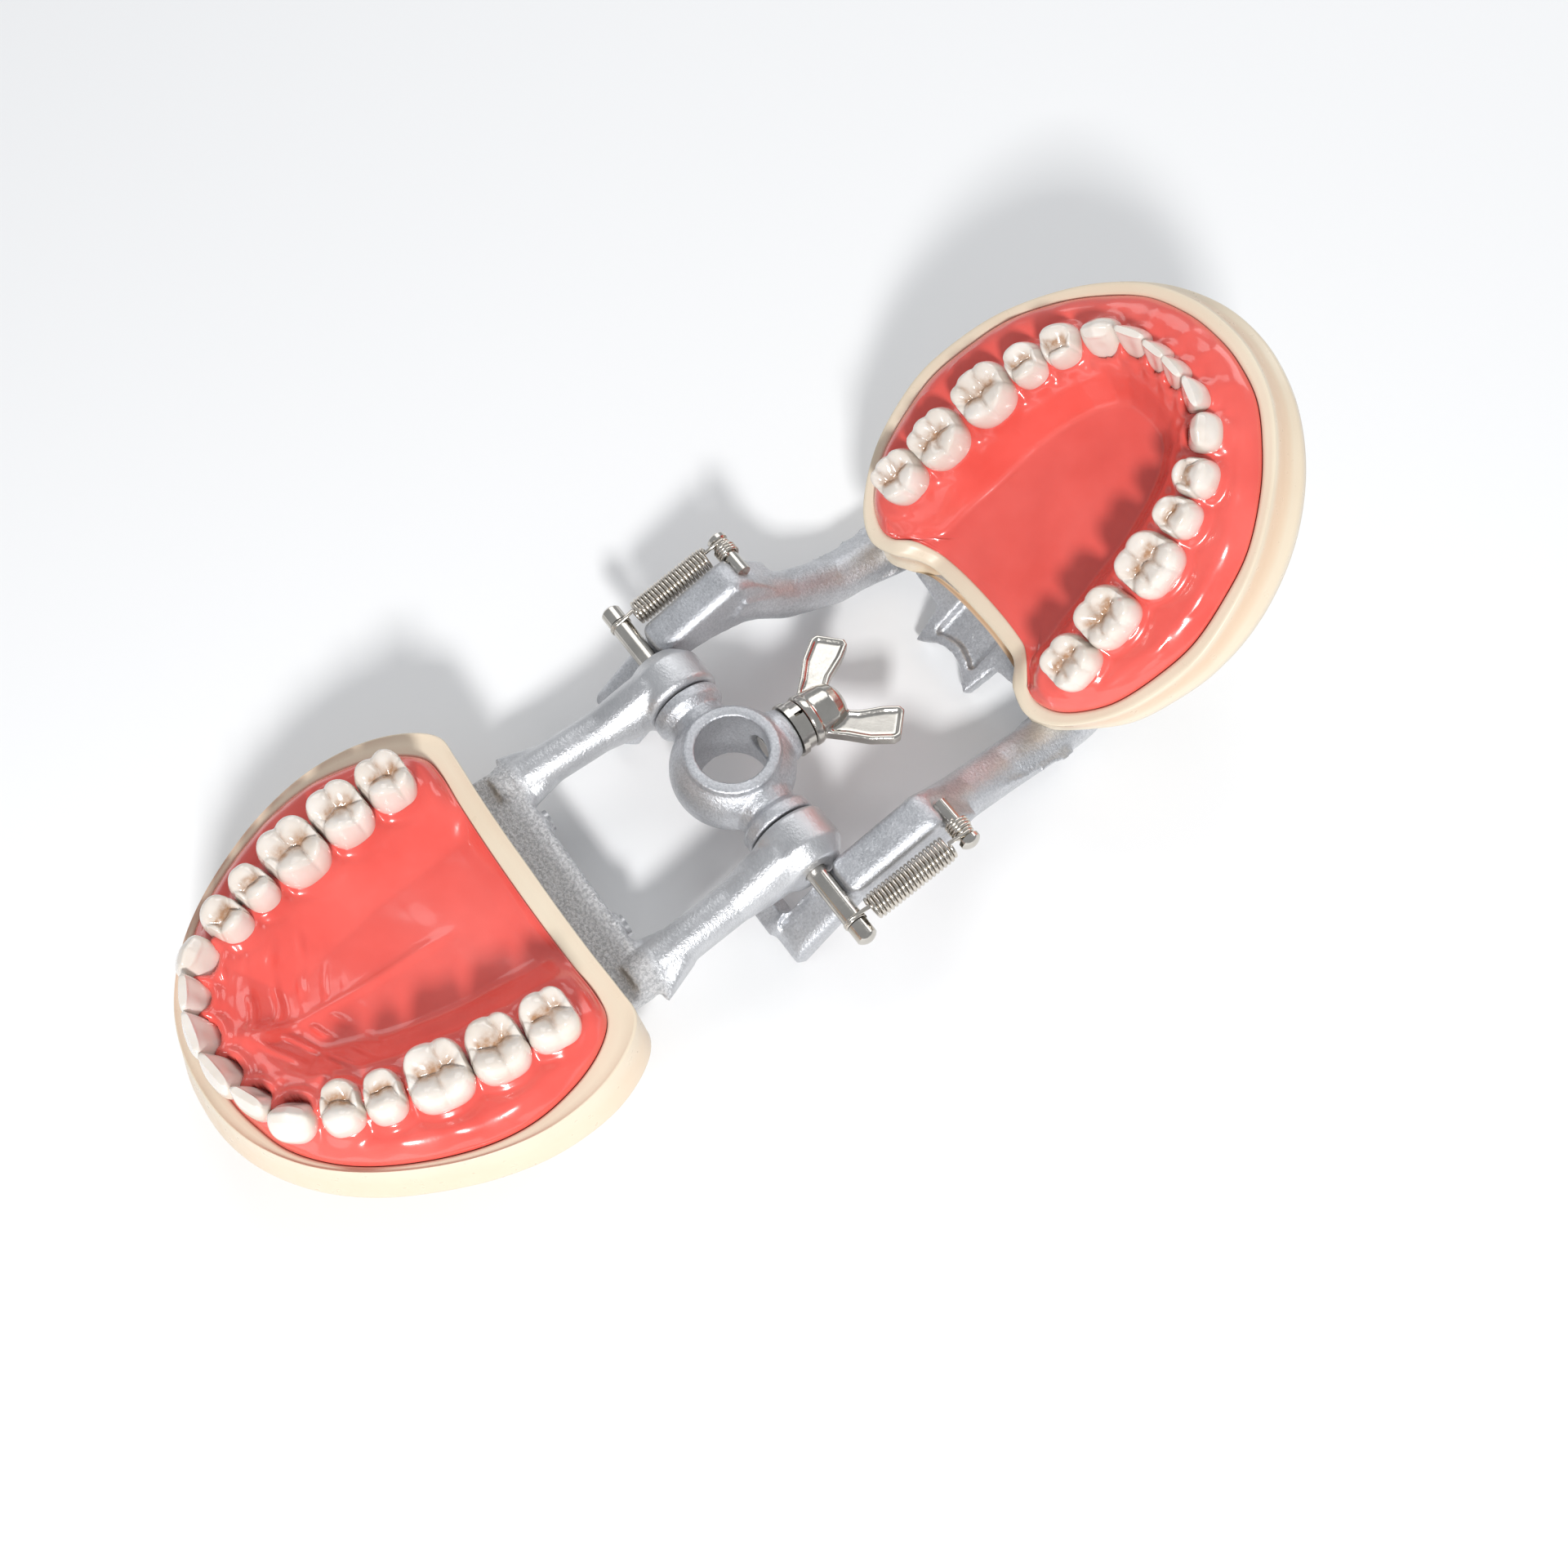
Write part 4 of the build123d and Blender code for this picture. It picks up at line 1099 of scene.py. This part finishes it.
def spring_line():
    """The wire's centreline for the right-hand spring, in millimetres."""
    points = []
    for k in range(46):
        turn = math.tau * (PIN_TURNS * (1 - k / 45) + 0.25)
        points.append(pin_spot + out_way * (0.36 - 0.72 * k / 45)
                      + (along * math.cos(turn) + up_way * math.sin(turn)) * (PIN_CORE + WIRE))
    start, stop, steps = PIN_LEAD, run - STUD_LEAD, COIL_TURNS * 20
    for k in range(steps + 1):
        turn = math.tau * (k / 20 + 0.25)
        reach = start + (stop - start) * k / steps
        tight = 1 - 0.12 * (hill(reach - start, 0.5) + hill(reach - stop, 0.5))
        points.append(pin_spot + along * reach
                      + (out_way * math.cos(turn) + up_way * math.sin(turn)) * COIL * tight)
    for k in range(100):
        turn = math.tau * (0.25 - STUD_TURNS * k / 99)
        shift = 0.3 - 3.2 * k / 99
        grow = 1.1 + 0.4 * smooth_step((-0.3 - shift) / 0.5)
        points.append(stud_spot + out_way * shift
                      + (along * math.cos(turn) + up_way * math.sin(turn)) * (grow + WIRE))
    return points


print("springs: %.1f mm between pin and stud" % run)

# %% [markdown]
# A curve object with a bevel would also give a wire, but its turns would be free to twist.
# Here a ring of eight points is carried along the line instead.

# %% Springs
def wire(points, radius, sides=8):
    """A closed tube along a line of points."""
    bm = bmesh.new()
    rings = []
    side = None
    for i, p in enumerate(points):
        way = (points[min(i + 1, len(points) - 1)] - points[max(i - 1, 0)]).normalized()
        side = way.orthogonal().normalized() if side is None else (side - way * side.dot(way)).normalized()
        other = way.cross(side)
        turns = [math.tau * k / sides for k in range(sides)]
        rings.append([bm.verts.new(p + (side * math.cos(t) + other * math.sin(t)) * radius) for t in turns])
    for near, far in zip(rings, rings[1:]):
        for k in range(sides):
            bm.faces.new((near[k], near[(k + 1) % sides], far[(k + 1) % sides], far[k]))
    bm.faces.new(rings[0])
    bm.faces.new(rings[-1])
    return bm


for side, label in ((1, "right"), (-1, "left")):
    bm = wire([Vector((side * p.x, p.y, p.z)) for p in spring_line()], WIRE)
    bmesh.ops.transform(bm, matrix=in_mm, verts=bm.verts)
    bmesh.ops.recalc_face_normals(bm, faces=bm.faces)
    mesh = bpy.data.meshes.new(f"spring_wire_{label}")
    bm.to_mesh(mesh)
    bm.free()
    spring = bpy.data.objects.new(f"spring_wire_{label}", mesh)
    bpy.context.scene.collection.objects.link(spring)
    mesh.materials.append(spring_wire_finish)
    mesh.shade_smooth()
    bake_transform(spring)
    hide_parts(f"spring_{label}")
    print(spring.name, len(mesh.polygons), "faces")

# %% [markdown]
# The remaining pins, studs, washers and screws are turned parts. Their CAD meshes are
# exact, so they stay, and only their slots get the detailed finishes.

# %% Turned parts
for name, finish in (("pin_right", nickel), ("pin_left", nickel), ("spring_stud_right", nickel),
                     ("spring_stud_left", nickel), ("flat_washer", nickel), ("lock_washer", nickel),
                     ("upper_tooth_screws", screw_steel), ("lower_tooth_screws", screw_steel),
                     ("upper_jaw_screws", screw_steel), ("lower_jaw_screws", screw_steel),
                     ("upper_clamp_screws", screw_steel)):
    mesh = nodes[name].data
    if mesh.materials:
        for i in range(len(mesh.materials)):
            mesh.materials[i] = finish
    else:
        mesh.materials.append(finish)
print("turned parts dressed")
